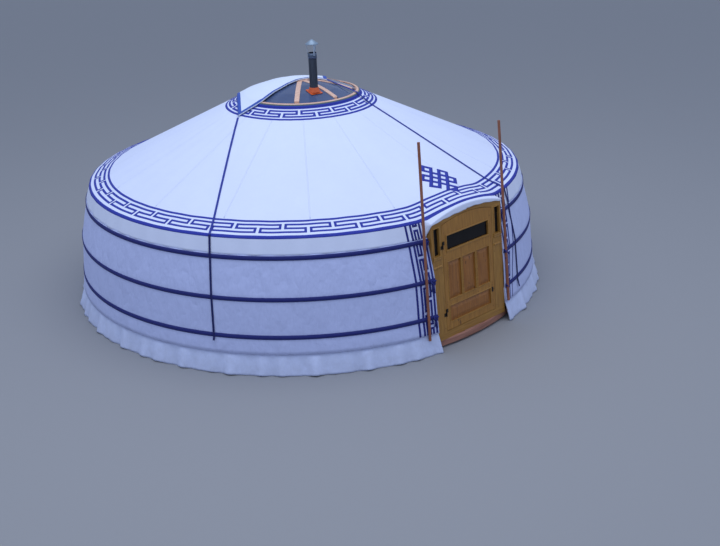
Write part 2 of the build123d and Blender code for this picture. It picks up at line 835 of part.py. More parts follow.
# Canvas hood: it lies on the lintel back to the roof and hangs a little way down the lintel's front
with BuildPart() as roof_body:
    with BuildSketch(radial_plane(door_azimuth)):
        Polygon((0, 0), (0, crown_edge_height), *roof_line, (valance_hem_radius, 0), align=None)
    revolve(axis=Axis.Z)
hood_edge = frame_half_width + hood_lap
hood_front = hood_front_gap + hood_thickness
with BuildPart() as door_hood:
    for depth, drop in ((4 * frame_depth, -2 * seat_gap), (hood_thickness, hood_drop)):
        low_end, low_middle = lintel_end_height - drop, lintel_middle_height - drop
        high_end = lintel_end_height + 2 * seat_gap + hood_thickness
        high_middle = lintel_middle_height + 2 * seat_gap + hood_thickness
        with BuildSketch(door_plane.offset(hood_front)):
            with BuildLine():
                ThreePointArc((-hood_edge, low_end), (0, low_middle), (hood_edge, low_end))
                Line((hood_edge, low_end), (hood_edge, high_end))
                ThreePointArc((hood_edge, high_end), (0, high_middle), (-hood_edge, high_end))
                Line((-hood_edge, high_end), (-hood_edge, low_end))
            make_face()
        extrude(amount=-depth)
    add(roof_body.part, mode=Mode.SUBTRACT)
finish(door_hood.part, "door_hood", white)

# Door leaf: arched frame with a window, three tall panels and a low one
leaf_half_width = opening_half_width - leaf_gap
leaf_foot = sill_height + leaf_foot_gap
panel_width = (2 * panel_half_width - 2 * muntin_width) / 3
upper_panels = [
    (-panel_half_width + k * (panel_width + muntin_width) + panel_width / 2, panel_width) for k in range(3)
]
with BuildPart() as door_leaf:
    with BuildSketch(door_plane.offset(-leaf_thickness)):
        with BuildLine():
            Polyline(
                (-leaf_half_width, leaf_corner_height),
                (-leaf_half_width, leaf_foot),
                (leaf_half_width, leaf_foot),
                (leaf_half_width, leaf_corner_height),
            )
            ThreePointArc(
                (leaf_half_width, leaf_corner_height), (0, leaf_middle_height), (-leaf_half_width, leaf_corner_height)
            )
        make_face()
        with Locations((0, (window_bottom + window_top) / 2)):
            Rectangle(2 * window_half_width, window_top - window_bottom, mode=Mode.SUBTRACT)
    extrude(amount=leaf_thickness)
    panel_places = [
        (x, (upper_panel_bottom + upper_panel_top) / 2, width, upper_panel_top - upper_panel_bottom)
        for x, width in upper_panels
    ]
    panel_places.append(
        (0, (lower_panel_bottom + lower_panel_top) / 2, 2 * panel_half_width, lower_panel_top - lower_panel_bottom)
    )
    for face, inwards in ((0, -1), (-leaf_thickness, 1)):
        with BuildSketch(door_plane.offset(face)):
            for x, y, width, height in panel_places:
                with Locations((x, y)):
                    Rectangle(width, height)
        extrude(amount=inwards * panel_recess, mode=Mode.SUBTRACT)
        for x, y, width, height in panel_places:
            base = door_plane.from_local_coords((x, y, face + inwards * panel_recess))
            wide, high = width - 2 * panel_field_inset, height - 2 * panel_field_inset
            with Locations(Plane(origin=base, x_dir=(1, 0, 0), z_dir=door_plane.z_dir)):
                Wedge(
                    wide,
                    panel_field_rise,
                    high,
                    panel_bevel,
                    panel_bevel,
                    wide - panel_bevel,
                    high - panel_bevel,
                    rotation=(-90 * inwards, 0, 0),
                    align=(Align.CENTER, Align.MIN, Align.CENTER),
                )
    add(roll(0, window_bottom - bead_radius, 2 * (window_half_width + bead_lap), bead_radius))
finish(door_leaf.part, "door_leaf", pine)

with BuildPart() as door_glass:
    with BuildSketch(door_plane.offset(-leaf_thickness / 2 - glass_thickness / 2)):
        with Locations((0, (window_bottom + window_top) / 2)):
            Rectangle(2 * (window_half_width - seat_gap), window_top - window_bottom - 2 * seat_gap)
    extrude(amount=glass_thickness)
finish(door_glass.part, "door_glass", pane_tint)

with BuildPart() as lock_plate:
    with BuildSketch(door_plane.offset(seat_gap)):
        with Locations(((panel_half_width + leaf_half_width) / 2, lock_height)):
            RectangleRounded(lock_plate_width, lock_plate_height, lock_plate_width / 4)
            with Locations((0, keyhole_rise)):
                Circle(keyhole_radius, mode=Mode.SUBTRACT)
            Rectangle(keyhole_radius, keyhole_slot, mode=Mode.SUBTRACT)
    extrude(amount=lock_plate_thickness)
finish(lock_plate.part, "lock_plate", steel)

# Lift-off hinges: a pin and low knuckle on the post, a bored knuckle on the leaf
hinge_x = -opening_half_width + leaf_gap / 2
hinge_out = knuckle_radius + seat_gap


def knuckle_plane(height):
    """Plane across the hinge line, with its origin on the line."""
    origin = door_plane.from_local_coords((hinge_x, height, hinge_out))
    return Plane(origin=origin, x_dir=(1, 0, 0), z_dir=door_plane.y_dir)


with BuildPart() as frame_hinges:
    for height in hinge_heights:
        with BuildSketch(knuckle_plane(height)):
            Circle(knuckle_radius)
        extrude(amount=-knuckle_length)
        with BuildSketch(knuckle_plane(height)):
            Circle(hinge_pin_radius)
        extrude(amount=knuckle_length - hinge_pin_shortfall)
        with BuildSketch(door_plane.offset(seat_gap)):
            with Locations((hinge_x - hinge_plate_width / 2, height - knuckle_length / 2)):
                Rectangle(hinge_plate_width, knuckle_length)
        extrude(amount=hinge_plate_thickness)
finish(frame_hinges.part, "frame_hinges", steel)

leaf_plate_start = hinge_pin_radius + hinge_plate_gap
with BuildPart() as leaf_hinges:
    for height in hinge_heights:
        with BuildSketch(knuckle_plane(height + seat_gap)):
            Circle(knuckle_radius)
            Circle(hinge_pin_radius + hinge_pin_clearance, mode=Mode.SUBTRACT)
        extrude(amount=knuckle_length)
        with BuildSketch(door_plane.offset(seat_gap)):
            with Locations((hinge_x + (hinge_plate_width + leaf_plate_start) / 2, height + seat_gap + knuckle_length / 2)):
                Rectangle(hinge_plate_width - leaf_plate_start, knuckle_length)
        extrude(amount=hinge_plate_thickness)
finish(leaf_hinges.part, "leaf_hinges", steel)
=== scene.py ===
from functools import partial
from math import asin, cos, degrees, hypot, radians, sin, sqrt, tau

import bpy
import numpy as np
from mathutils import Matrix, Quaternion, Vector


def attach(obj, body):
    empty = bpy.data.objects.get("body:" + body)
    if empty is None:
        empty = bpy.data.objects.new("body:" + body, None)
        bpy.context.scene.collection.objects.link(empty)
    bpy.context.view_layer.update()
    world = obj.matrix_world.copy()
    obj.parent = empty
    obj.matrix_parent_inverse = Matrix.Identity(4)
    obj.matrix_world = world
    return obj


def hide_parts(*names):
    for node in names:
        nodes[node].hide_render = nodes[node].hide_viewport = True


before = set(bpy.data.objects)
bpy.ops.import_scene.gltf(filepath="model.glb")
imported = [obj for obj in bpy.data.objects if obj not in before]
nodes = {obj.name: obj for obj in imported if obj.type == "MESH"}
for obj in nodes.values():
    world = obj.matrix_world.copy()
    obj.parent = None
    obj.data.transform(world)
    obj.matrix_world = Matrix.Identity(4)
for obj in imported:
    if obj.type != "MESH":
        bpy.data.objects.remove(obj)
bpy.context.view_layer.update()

# Studio: a pale floor under a soft overcast sky, seen from above, in front of the house and to its left.
# The viewpoint is fitted to the circles of the eave, the border's lines and the wall bands.
eye = Vector((-9.380, -11.178, 5.902))
heading, dip, roll = radians(47.24), radians(22.14), radians(-2.11)
lens_length = 55.0


def placed(name, data):
    """A new object in the scene."""
    made = bpy.data.objects.new(name, data)
    bpy.context.scene.collection.objects.link(made)
    return made


def plain_mesh(name, points, faces=(), edges=()):
    mesh = bpy.data.meshes.new(name)
    mesh.from_pydata([tuple(p) for p in points], edges, faces)
    return mesh


camera = placed("camera", bpy.data.cameras.new("camera"))
sight = Vector((cos(heading) * cos(dip), sin(heading) * cos(dip), -sin(dip)))
camera.location = eye
camera.rotation_mode = "QUATERNION"
camera.rotation_quaternion = sight.to_track_quat("-Z", "Y") @ Quaternion((0, 0, 1), roll)
camera.data.lens = lens_length
bpy.context.scene.camera = camera

floor_half = 40.0
floor_corners = [(x * floor_half, y * floor_half, 0) for x, y in ((-1, -1), (1, -1), (1, 1), (-1, 1))]
floor_mesh = plain_mesh("studio_floor", floor_corners, [(0, 1, 2, 3)])
studio_floor = placed("studio_floor", floor_mesh)

sky = bpy.data.worlds.new("sky")
sky.use_nodes = True
sky.node_tree.nodes["Background"].inputs["Color"].default_value = (0.62, 0.74, 1.0, 1)
sky.node_tree.nodes["Background"].inputs["Strength"].default_value = 0.74
bpy.context.scene.world = sky
bpy.context.scene.view_settings.view_transform = "Standard"

overhead = placed("overhead_light", bpy.data.lights.new("overhead_light", "AREA"))
overhead.data.shape = "DISK"
overhead.data.size = 14.0
overhead.data.energy = 760.0
overhead.data.color = (0.82, 0.88, 1.0)
overhead.location = (-2.5, -3.0, 12.0)


class Socket:
    """A value inside a finish, which takes part in sums and comparisons like a number."""

    def __init__(self, finish, link):
        self.finish = finish
        self.link = link

    def math(self, operation, *others):
        return self.finish.node("ShaderNodeMath", "Value", [self, *others], operation=operation)

    def __add__(self, other):
        return self.math("ADD", other)

    def __sub__(self, other):
        return self.math("SUBTRACT", other)

    def __rsub__(self, other):
        return self.finish.node("ShaderNodeMath", "Value", [other, self], operation="SUBTRACT")

    def __mul__(self, other):
        return self.math("MULTIPLY", other)

    def __lt__(self, other):
        return self.math("LESS_THAN", other)

    def __gt__(self, other):
        return self.math("GREATER_THAN", other)

    __radd__ = __add__
    __rmul__ = __mul__


class Finish:
    """A surface finish: a material with one Principled shader, built up node by node."""

    def __init__(self, name, **fixed):
        self.material = bpy.data.materials.new(name)
        self.material.use_nodes = True
        self.tree = self.material.node_tree
        self.shader = self.tree.nodes["Principled BSDF"]
        for key, value in fixed.items():
            self.set(key.replace("_", " ").title(), value)

    def feed(self, target, value):
        if isinstance(value, Socket):
            self.tree.links.new(value.link, target)
        else:
            target.default_value = (*value, 1) if target.type == "RGBA" and len(value) == 3 else value

    def node(self, kind, out, inputs=(), **settings):
        """One output of a new node with these inputs and settings."""
        made = self.tree.nodes.new(kind)
        for key, value in settings.items():
            if key == "stops":
                for element, (place, colour) in zip(made.color_ramp.elements, value):
                    element.position = place
                    element.color = (*colour, 1)
            else:
                setattr(made, key, value)
        for key, value in inputs.items() if isinstance(inputs, dict) else enumerate(inputs):
            self.feed(made.inputs[key], value)
        return Socket(self, made.outputs[out])

    def place(self):
        """Object coordinates, in metres."""
        return self.node("ShaderNodeTexCoord", "Object")

    def axes(self, vector):
        return [self.node("ShaderNodeSeparateXYZ", axis, [vector]) for axis in "XYZ"]

    def stretched(self, vector, scale):
        return self.node("ShaderNodeMapping", "Vector", {"Vector": vector, "Scale": scale})

    def noise(self, vector, scale, detail=3.0, roughness=0.55):
        inputs = {"Vector": vector, "Scale": scale, "Detail": detail, "Roughness": roughness}
        return self.node("ShaderNodeTexNoise", 0, inputs)

    def ramp(self, factor, dark, light):
        return self.node("ShaderNodeValToRGB", "Color", [factor], stops=((0.3, dark), (0.7, light)))

    def mix(self, factor, first, second):
        return self.node("ShaderNodeMix", 2, {0: factor, 6: first, 7: second}, data_type="RGBA")

    def bump(self, height, strength, distance):
        inputs = {"Height": height, "Strength": strength, "Distance": distance}
        self.set("Normal", self.node("ShaderNodeBump", "Normal", inputs))

    def set(self, name, value):
        self.feed(self.shader.inputs[name], value)


floor_finish = Finish("studio_floor", base_color=(0.30, 0.30, 0.31), roughness=0.9)
floor_mesh.materials.append(floor_finish.material)

# Platform: a round deck of sawn larch boards nailed on joists, behind a bent fascia board. The boards run
# towards the door, with narrow gaps between them.
board_width, board_gap, board_thickness, shortest_board = 0.140, 0.004, 0.022, 0.4
deck_radius, deck_height = 3.080, 0.110
drum_top = deck_height - board_thickness
fascia_foot, fascia_round, fascia_depth, drum_inset = 0.026, 0.012, 0.025, 0.05


def wood(name, light, dark, along, roughness=0.6):
    """Planed wood with its grain along one axis, or round an upright bend where two are given."""
    finish = Finish(name, roughness=roughness)
    along_grain, across_grain = 0.9, 14.0
    scale = [along_grain if axis in along else across_grain for axis in "XYZ"]
    grain = finish.noise(finish.stretched(finish.place(), scale), 3.0, 5.0, 0.65)
    finish.set("Base Color", finish.ramp(grain, dark, light))
    finish.bump(grain, 0.2, 0.001)
    return finish


larch = wood("platform_larch", (0.46, 0.31, 0.25), (0.25, 0.15, 0.12), "Y", 0.75)
fascia_larch = wood("fascia_larch", (0.43, 0.20, 0.14), (0.26, 0.11, 0.075), "XY", 0.7)


def new_piece(name, points, faces, finish, body="house", smooth=True):
    """A mesh object at the origin with its finish, fixed to one of the bodies."""
    mesh = plain_mesh(name, points, faces)
    mesh.materials.append(finish.material)
    if smooth:
        mesh.polygons.foreach_set("use_smooth", [True] * len(mesh.polygons))
    piece = placed(name, mesh)
    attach(piece, body)
    return piece


def revolved(name, outline, steps, finish, smooth=True, centre=(0.0, 0.0)):
    """A closed outline of (radius, height) points turned round an upright axis; a point on it stays one."""
    points, rings = [], []
    for r, z in outline:
        turns = steps if r else 1
        rings.append([len(points) + j % turns for j in range(steps)])
        angles = [tau * j / steps for j in range(turns)]
        points += [(centre[0] + r * cos(a), centre[1] + r * sin(a), z) for a in angles]
    faces = []
    for this, following in zip(rings, rings[1:] + rings[:1]):
        for j in range(steps):
            k = (j + 1) % steps
            corners = list(dict.fromkeys((this[j], this[k], following[k], following[j])))
            if len(corners) > 2:
                faces.append(corners)
    return new_piece(name, points, faces, finish, smooth=smooth)


def from_tree(name, start, inputs, finish, body, shape):
    """A piece whose plain mesh a node tree makes from a start mesh; shape adds the tree's own nodes."""
    inputs = {**inputs, "Finish": ("NodeSocketMaterial", finish.material)}
    holder = placed(name, start)
    tree = bpy.data.node_groups.new(name, "GeometryNodeTree")
    tree.interface.new_socket("Geometry", in_out="INPUT", socket_type="NodeSocketGeometry")
    keys = {}
    for label, (kind, _) in inputs.items():
        keys[label] = tree.interface.new_socket(label, in_out="INPUT", socket_type=kind).identifier
    tree.interface.new_socket("Geometry", in_out="OUTPUT", socket_type="NodeSocketGeometry")
    given = tree.nodes.new("NodeGroupInput")
    real = tree.nodes.new("GeometryNodeRealizeInstances")
    coat = tree.nodes.new("GeometryNodeSetMaterial")
    result = tree.nodes.new("NodeGroupOutput")
    tree.links.new(shape(tree, given), real.inputs["Geometry"])
    tree.links.new(real.outputs["Geometry"], coat.inputs["Geometry"])
    tree.links.new(given.outputs["Finish"], coat.inputs["Material"])
    tree.links.new(coat.outputs["Geometry"], result.inputs["Geometry"])
    modifier = holder.modifiers.new(name, "NODES")
    modifier.node_group = tree
    for label, (_, value) in inputs.items():
        modifier[keys[label]] = value
    plain = bpy.data.meshes.new_from_object(holder.evaluated_get(bpy.context.evaluated_depsgraph_get()))
    holder.modifiers.remove(modifier)
    holder.data = plain
    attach(holder, body)
    return holder


def repeated(name, spots, piece_mesh, finish, body="house"):
    """Copies of a small mesh on (place, turn, size) spots, laid out by a node tree and then made plain."""
    cloud = plain_mesh(name, [place for place, _, _ in spots])
    for key, values in (("turn", [t for _, t, _ in spots]), ("size", [s for _, _, s in spots])):
        layer = cloud.attributes.new(key, "FLOAT_VECTOR", "POINT")
        layer.data.foreach_set("vector", np.array(values, dtype=np.float32).ravel())
    sample = bpy.data.objects.new(name + "_sample", piece_mesh)

    def copies(tree, given):
        info = tree.nodes.new("GeometryNodeObjectInfo")
        place = tree.nodes.new("GeometryNodeInstanceOnPoints")
        tree.links.new(given.outputs["Geometry"], place.inputs["Points"])
        tree.links.new(given.outputs["Copy"], info.inputs["Object"])
        tree.links.new(info.outputs["Geometry"], place.inputs["Instance"])
        for key, target in (("turn", "Rotation"), ("size", "Scale")):
            stored = tree.nodes.new("GeometryNodeInputNamedAttribute")
            stored.data_type = "FLOAT_VECTOR"
            stored.inputs["Name"].default_value = key
            tree.links.new(stored.outputs["Attribute"], place.inputs[target])
        return place.outputs["Instances"]

    holder = from_tree(name, cloud, {"Copy": ("NodeSocketObject", sample)}, finish, body, copies)
    bpy.data.objects.remove(sample)
    return holder


def between(low, high, count):
    """Faces between two rings of as many points, from the numbers of their first points."""
    return [(low + i, low + (i + 1) % count, high + (i + 1) % count, high + i) for i in range(count)]


def lofted(rings, first=0):
    """Points and faces of a closed prism through rings of as many points, numbered from a first."""
    count = len(rings[0])
    last = first + (len(rings) - 1) * count
    faces = [tuple(range(first + count - 1, first - 1, -1)), tuple(range(last, last + count))]
    for low in range(first, last, count):
        faces += between(low, low + count, count)
    return [spot for ring in rings for spot in ring], faces


board_bevel = 0.02
square = ((-0.5, -0.5), (0.5, -0.5), (0.5, 0.5), (-0.5, 0.5))
board_sizes = ((1, 0), (1, 1 - board_bevel), (1 - 2 * board_bevel, 1))
board_rings = [[(x * s, y * s, z) for x, y in square] for s, z in board_sizes]
deck_board = plain_mesh("deck_board", *lofted(board_rings))
board_spots = []
board_count = int(2 * deck_radius / board_width)
for i in range(board_count):
    x = (i - (board_count - 1) / 2) * board_width
    reach = (deck_radius - fascia_depth) ** 2 - (abs(x) + board_width / 2) ** 2
    length = 2 * sqrt(max(reach, (shortest_board / 2) ** 2))
    board_spots.append(((x, 0, drum_top), (0, 0, 0), (board_width - board_gap, length, board_thickness)))
deck_boards = repeated("deck_boards", board_spots, deck_board, larch)
drum_outline = [(0, 0), (deck_radius - drum_inset, 0), (deck_radius - drum_inset, fascia_foot)]
for edge, angles, way in ((fascia_foot, (-90, -45, 0), 1), (deck_height, (0, 30, 60, 90), -1)):
    for a in np.radians(angles):
        rounded = edge + way * fascia_round * (1 + way * sin(a))
        drum_outline.append((deck_radius - fascia_round * (1 - cos(a)), rounded))
drum_outline += [(deck_radius - fascia_depth, z) for z in (deck_height, drum_top)] + [(0, drum_top)]
deck_drum = revolved("deck_drum", drum_outline, 240, fascia_larch, smooth=False)
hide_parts("platform")

# Door frame: posts, arched lintel and sill of varnished pine, with a narrow glazed light in each post. Its
# joints are doweled, and it stands on the platform and leans back with the wall.
pine_light, pine_dark = (0.43, 0.215, 0.042), (0.25, 0.112, 0.019)
upright_pine = wood("door_pine_upright", pine_light, pine_dark, "Z", 0.45)
cross_pine = wood("door_pine_cross", pine_light, pine_dark, "X", 0.45)


def on_nodes(finish, *names):
    """Gives frame parts their finish."""
    for name in names:
        mesh = nodes[name].data
        mesh.materials.clear()
        mesh.materials.append(finish.material)


def mottled(name, light, dark, scale, roughness, metallic=0.0, relief=0.0, stretch=(1, 1, 1)):
    """A smooth material with an uneven tone and an uneven polish."""
    finish = Finish(name, metallic=metallic)
    patches = finish.noise(finish.stretched(finish.place(), stretch), scale, 4.0, 0.6)
    finish.set("Base Color", finish.ramp(patches, dark, light))
    finish.set("Roughness", patches * 0.2 + (roughness - 0.1))
    if relief:
        finish.bump(patches, 0.4, relief)
    return finish


on_nodes(upright_pine, "door_post_left", "door_post_right")
on_nodes(cross_pine, "door_lintel", "door_sill")
dark_glass = mottled("dark_glass", (0.011, 0.009, 0.009), (0.007, 0.006, 0.006), 4.0, 0.22)
dark_glass.set("Specular IOR Level", 0.2)
on_nodes(dark_glass, "sidelight_panes")

# Door leaf: framed and arched, with a wide glazed window over three tall raised panels and a low one, hung
# on black iron lift-off hinges.
leaf_pine = Finish("door_pine_leaf", roughness=0.45)
leaf_spot = leaf_pine.place()
leaf_grain = leaf_pine.noise(leaf_pine.stretched(leaf_spot, (14, 14, 0.9)), 3.0, 5.0, 0.65)
across, _, high = leaf_pine.axes(leaf_spot)
panels_half, panel_width, muntin = 0.37, 0.22, 0.04
tall_foot, tall_head, low_foot, low_head = 0.59, 1.056, 0.305, 0.504
in_panel = (across + panels_half).math("MODULO", panel_width + muntin) < panel_width
tall_fields = (high > tall_foot) * (high < tall_head) * in_panel
low_field = (high > low_foot) * (high < low_head)
fields = (across.math("ABSOLUTE") < panels_half) * (tall_fields + low_field)
frame_tone = leaf_pine.ramp(leaf_grain, (0.27, 0.115, 0.018), (0.44, 0.205, 0.036))
field_tone = leaf_pine.ramp(leaf_grain, (0.22, 0.080, 0.016), (0.38, 0.145, 0.028))
knot_mask = (leaf_pine.noise(leaf_pine.stretched(leaf_spot, (1, 1, 0.6)), 16.0, 1.0) > 0.73) * 0.7
leaf_tone = leaf_pine.mix(knot_mask, leaf_pine.mix(fields, frame_tone, field_tone), (0.09, 0.035, 0.012))
leaf_pine.set("Base Color", leaf_tone)
leaf_pine.bump(leaf_grain, 0.2, 0.001)
on_nodes(leaf_pine, "door_leaf")
on_nodes(dark_glass, "door_glass")
black_iron = mottled("black_iron", (0.028, 0.020, 0.015), (0.014, 0.010, 0.008), 60.0, 0.55, 0.5, 0.0004)
on_nodes(black_iron, "leaf_hinges", "frame_hinges", "lock_plate")

door_front, door_foot, door_lean = 3.045, 0.110, radians(4)


def door_spot(x, height, out):
    """Point on the door's leaning front, from a sideways distance, a height up it and a distance out."""
    y = -door_front + height * sin(door_lean) - out * cos(door_lean)
    return (x, y, door_foot + height * cos(door_lean) + out * sin(door_lean))


bead_sink = 0.002


def moulded_frame(name, left, right, bottom, top, width, rise, finish, body):
    """A rounded bead round a rectangular opening in the door's front, mitred at its corners."""
    rounding = ((0, 0.6), (0.25, 1), (0.75, 1), (1, 0.4))
    section = [(0, -bead_sink), *[(width * w, rise * h) for w, h in rounding], (width, -bead_sink)]
    points = []
    for dx, dz in ((-1, -1), (1, -1), (1, 1), (-1, 1)):
        x, z = (left if dx < 0 else right), (bottom if dz < 0 else top)
        points += [door_spot(x + dx * w, z + dz * w, out) for w, out in section]
    faces, count = [], len(section)
    for corner in range(4):
        faces += between(corner * count, (corner + 1) % 4 * count, count)
    return new_piece(name, points, faces, finish, body, smooth=False)


sidelight_middle, sidelight_half, sidelight_foot, sidelight_top = 0.545, 0.045, 1.075, 1.412
for side, side_name in ((-1, "left"), (1, "right")):
    left, right = [side * sidelight_middle + edge * sidelight_half for edge in (-1, 1)]
    edges = (left, right, sidelight_foot, sidelight_top)
    bead = moulded_frame(f"sidelight_bead_{side_name}", *edges, 0.012, 0.007, upright_pine, "house")
openings = [
    ("window", -0.372, 0.372, 1.100, 1.280, 0.016, 0.009),
    ("low_panel", -panels_half, panels_half, 0.195, 0.395, 0.012, 0.005),
]
for k in range(3):
    start = -panels_half + k * (panel_width + muntin)
    openings.append((f"tall_panel_{k + 1}", start, start + panel_width, 0.480, 0.950, 0.012, 0.005))
for name, *edges, width, rise in openings:
    bead = moulded_frame(name + "_bead", *edges, width, rise, cross_pine, "door")


def stub_mesh(name, count, low, high):
    """A short peg with so many sides, between two ends given as (radius, height)."""
    turns = np.linspace(0, tau, count, endpoint=False)
    return plain_mesh(name, *lofted([[(r * cos(a), r * sin(a), z) for a in turns] for r, z in (low, high)]))


dowel = stub_mesh("dowel", 10, (0.5, -1), (0.5, 1))
dowel_turn, dowel_size = (tau / 4 - door_lean, 0, 0), (0.010, 0.010, 0.0012)
dowel_finish = mottled("dowel_end", (0.20, 0.090, 0.026), (0.13, 0.055, 0.016), 300.0, 0.6)
leaf_dowels = [(x, h) for x in (-0.415, 0.415) for h in (0.15, 0.43, 0.46, 1.0, 1.05, 1.33)]
post_dowels = [(x, h) for x in (-0.475, -0.600, 0.475, 0.600) for h in (0.14, 0.85, 1.04)]
for name, places, body, slot_name in (
    ("leaf_dowels", leaf_dowels, "door", "leaf_wood"),
    ("post_dowels", post_dowels, "house", "door_wood"),
):
    spots = [(door_spot(x, h, 0.0), dowel_turn, dowel_size) for x, h in places]
    dowels = repeated(name, spots, dowel, dowel_finish, body)

# Trellis wall: oiled laths laid crosswise in two layers and pegged with rawhide where they meet. It stands
# on the platform, leans in a little at its top and carries the feet of the roof poles.
lath_finish = wood("trellis_lath", (0.52, 0.27, 0.11), (0.34, 0.15, 0.05), "Z", 0.6)
sector_names = ("front_right", "right", "back_right", "back_left", "left", "front_left")
on_nodes(lath_finish, *["trellis_" + name for name in sector_names])

bay_count, bay, lath_reach, doorway_half = 48, radians(7.5), radians(12.75), 0.24
lath_foot, lath_middle, lath_top = (3.020, 0.110), (3.012, 0.829), (2.852, 1.548)
peg_turn, peg_size = tau / 4, (0.016, 0.016, 0.012)
peg_spots = []
for m in range(-3, 4):
    share = abs(m) * bay / 2 / lath_reach
    end = lath_foot if m < 0 else lath_top
    radius = lath_middle[0] + (end[0] * cos(lath_reach) - lath_middle[0]) * share
    radius = hypot(radius, end[0] * sin(lath_reach) * share)
    height = lath_middle[1] + (end[1] - lath_middle[1]) * share
    for k in range(bay_count):
        a = (k + 0.5 * (m % 2 == 0)) * bay
        if abs((a + tau / 2) % tau - tau / 2) > doorway_half:
            place = (radius * sin(a), -radius * cos(a), height)
            peg_spots.append((place, (peg_turn, 0, a + tau / 2), peg_size))
hide = mottled("rawhide_peg", (0.24, 0.13, 0.07), (0.15, 0.08, 0.045), 200.0, 0.7)
lath_pegs = repeated("lath_pegs", peg_spots, stub_mesh("lath_peg", 8, (0.5, 0), (0.3, 0.8)), hide)

# Crown: a bent wooden ring with arched spokes, raised on two posts. The roof poles are straight, with
# chamfered edges, and run up from the trellis heads or the lintel to the ring's rim.
pole_finish = wood("roof_pole", (0.48, 0.20, 0.08), (0.30, 0.11, 0.04), "X", 0.55)
crown_finish = wood("crown_wood", (0.84, 0.55, 0.42), (0.66, 0.40, 0.29), "X", 0.6)
on_nodes(pole_finish, *["roof_poles_" + name for name in ("front", "right", "back", "left")])
on_nodes(crown_finish, "crown_ring", "crown_spokes")
on_nodes(lath_finish, "crown_posts")

# Wall cover: heavy white canvas over felt, laid round the trellis from one side of the door to the other
# and drawn in by three bands. Its top edge is tucked up under the roof cover's hem.
door_frame_edge, ground_clearance = 0.6265, 0.001
wall_thickness, wall_columns = 0.014, 720
wall_corners = [
    (2.895, 1.590),
    (2.944, 1.420),
    (2.964, 1.416),
    (2.968, 1.364),
    (3.069, 0.946),
    (3.069, 0.894),
    (3.106, 0.489),
    (3.108, 0.437),
    (3.135, 0.250),
]


def canvas(name, tint, grime=0.0, creases=0.35):
    """Woven canvas: a fine weave, slack creases and a little soil towards the ground."""
    finish = Finish(name, roughness=0.85)
    soil_height, darkened = 0.55, 0.86
    spot = finish.place()
    slack = finish.noise(finish.stretched(spot, (1, 1, 0.45)), 2.4, 4.0, 0.6)
    fine = finish.noise(spot, 900.0, 1.0)
    cloth = finish.mix(slack * 0.5, tint, [c * darkened for c in tint])
    if grime:
        height = finish.axes(spot)[2]
        nearness = (1.0 - height * (1 / soil_height)).math("MAXIMUM", 0.0)
        soil = nearness * finish.noise(spot, 9.0, 5.0, 0.7) * grime
        cloth = finish.mix(soil, cloth, (0.17, 0.16, 0.15))
    finish.set("Base Color", cloth)
    ridges = (finish.noise(finish.stretched(spot, (1, 1, 0.55)), 5.5, 3.0, 0.5) - 0.5).math("ABSOLUTE")
    gathers = finish.noise(finish.stretched(spot, (1, 1, 0.12)), 15.0, 2.0)
    finish.bump((slack + ridges + gathers * 0.35) * creases + fine * 0.02, 0.6, 0.02)
    return finish


def sampled(corners, spacing):
    """Points along a line of corners, closer than a spacing, with every corner kept."""
    line = []
    for (r0, z0), (r1, z1) in zip(corners, corners[1:]):
        steps = max(1, int(hypot(r1 - r0, z1 - z0) / spacing + 0.5))
        line += [(r0 + (r1 - r0) * k / steps, z0 + (z1 - z0) * k / steps) for k in range(steps)]
    return line + [corners[-1]]


def cloth(name, pair, finish, ring=False):
    """A closed sheet between an outer and an inner grid of points, each rows by columns by three."""
    outer, inner = pair
    rows, columns = outer.shape[:2]
    points = np.concatenate([outer.reshape(-1, 3), inner.reshape(-1, 3)])
    under = rows * columns
    faces = []
    last = columns if ring else columns - 1
    for i in range(rows - 1):
        for j in range(last):
            a, b = i * columns + j, i * columns + (j + 1) % columns
            faces.append((a, a + columns, b + columns, b))
            faces.append((under + a, under + b, under + b + columns, under + a + columns))
    low = under - columns
    rim = []
    for j in range(last):
        k = (j + 1) % columns
        rim += [(j, k), (low + k, low + j)]
    if not ring:
        for a in range(0, low, columns):
            rim += [(a + columns, a), (a + last, a + columns + last)]
    faces += [(a, b, under + b, under + a) for a, b in rim]
    return new_piece(name, points.tolist(), faces, finish)


def line_normals(line):
    """Outward unit normals of a falling line of (radius, height) points."""
    flat = np.array(line)
    slope = np.gradient(flat, axis=0)
    slope /= np.linalg.norm(slope, axis=1)[:, None]
    return np.stack([-slope[:, 1], slope[:, 0]], axis=1)


def ripple(azimuth, *waves):
    """Uneven folds round the house: a sum of waves, each with a count, an amplitude and a phase."""
    return sum(size * np.sin(count * azimuth + phase) for count, size, phase in waves)


def wall_grid(line, columns, relief, offset):
    """Grid round the wall from one side of the door to the other, moved out by a relief and an offset."""
    flat, normal = np.array(line), line_normals(line)
    grid = np.zeros((len(line), columns, 3))
    for i, (r, z) in enumerate(line):
        start = asin(door_frame_edge / r)
        azimuth = np.linspace(start, tau - start, columns)
        shift = offset + relief(azimuth, z)
        reach = r + normal[i, 0] * shift
        grid[i, :, 0] = reach * np.cos(azimuth - tau / 4)
        grid[i, :, 1] = reach * np.sin(azimuth - tau / 4)
        grid[i, :, 2] = np.maximum(z + normal[i, 1] * shift, ground_clearance)
    return grid


def wall_faces(line, columns, relief, *offsets):
    return [wall_grid(line, columns, relief, offset) for offset in offsets]


def wall_relief(azimuth, z):
    """Slack of the wall cover between the bands, in folds that slant both ways."""
    slack = 0.0
    for (_, high), (_, low) in zip(wall_corners[3::2], wall_corners[4::2]):
        if low < z < high:
            slack = sin(tau / 2 * (z - low) / (high - low))
    slanting = ripple(azimuth + 0.10 * z, (48, 0.0017, 0.0), (31, 0.0014, 1.0))
    slanting = slanting + ripple(azimuth - 0.14 * z, (73, 0.0011, 2.0))
    return (0.0020 + slanting) * slack


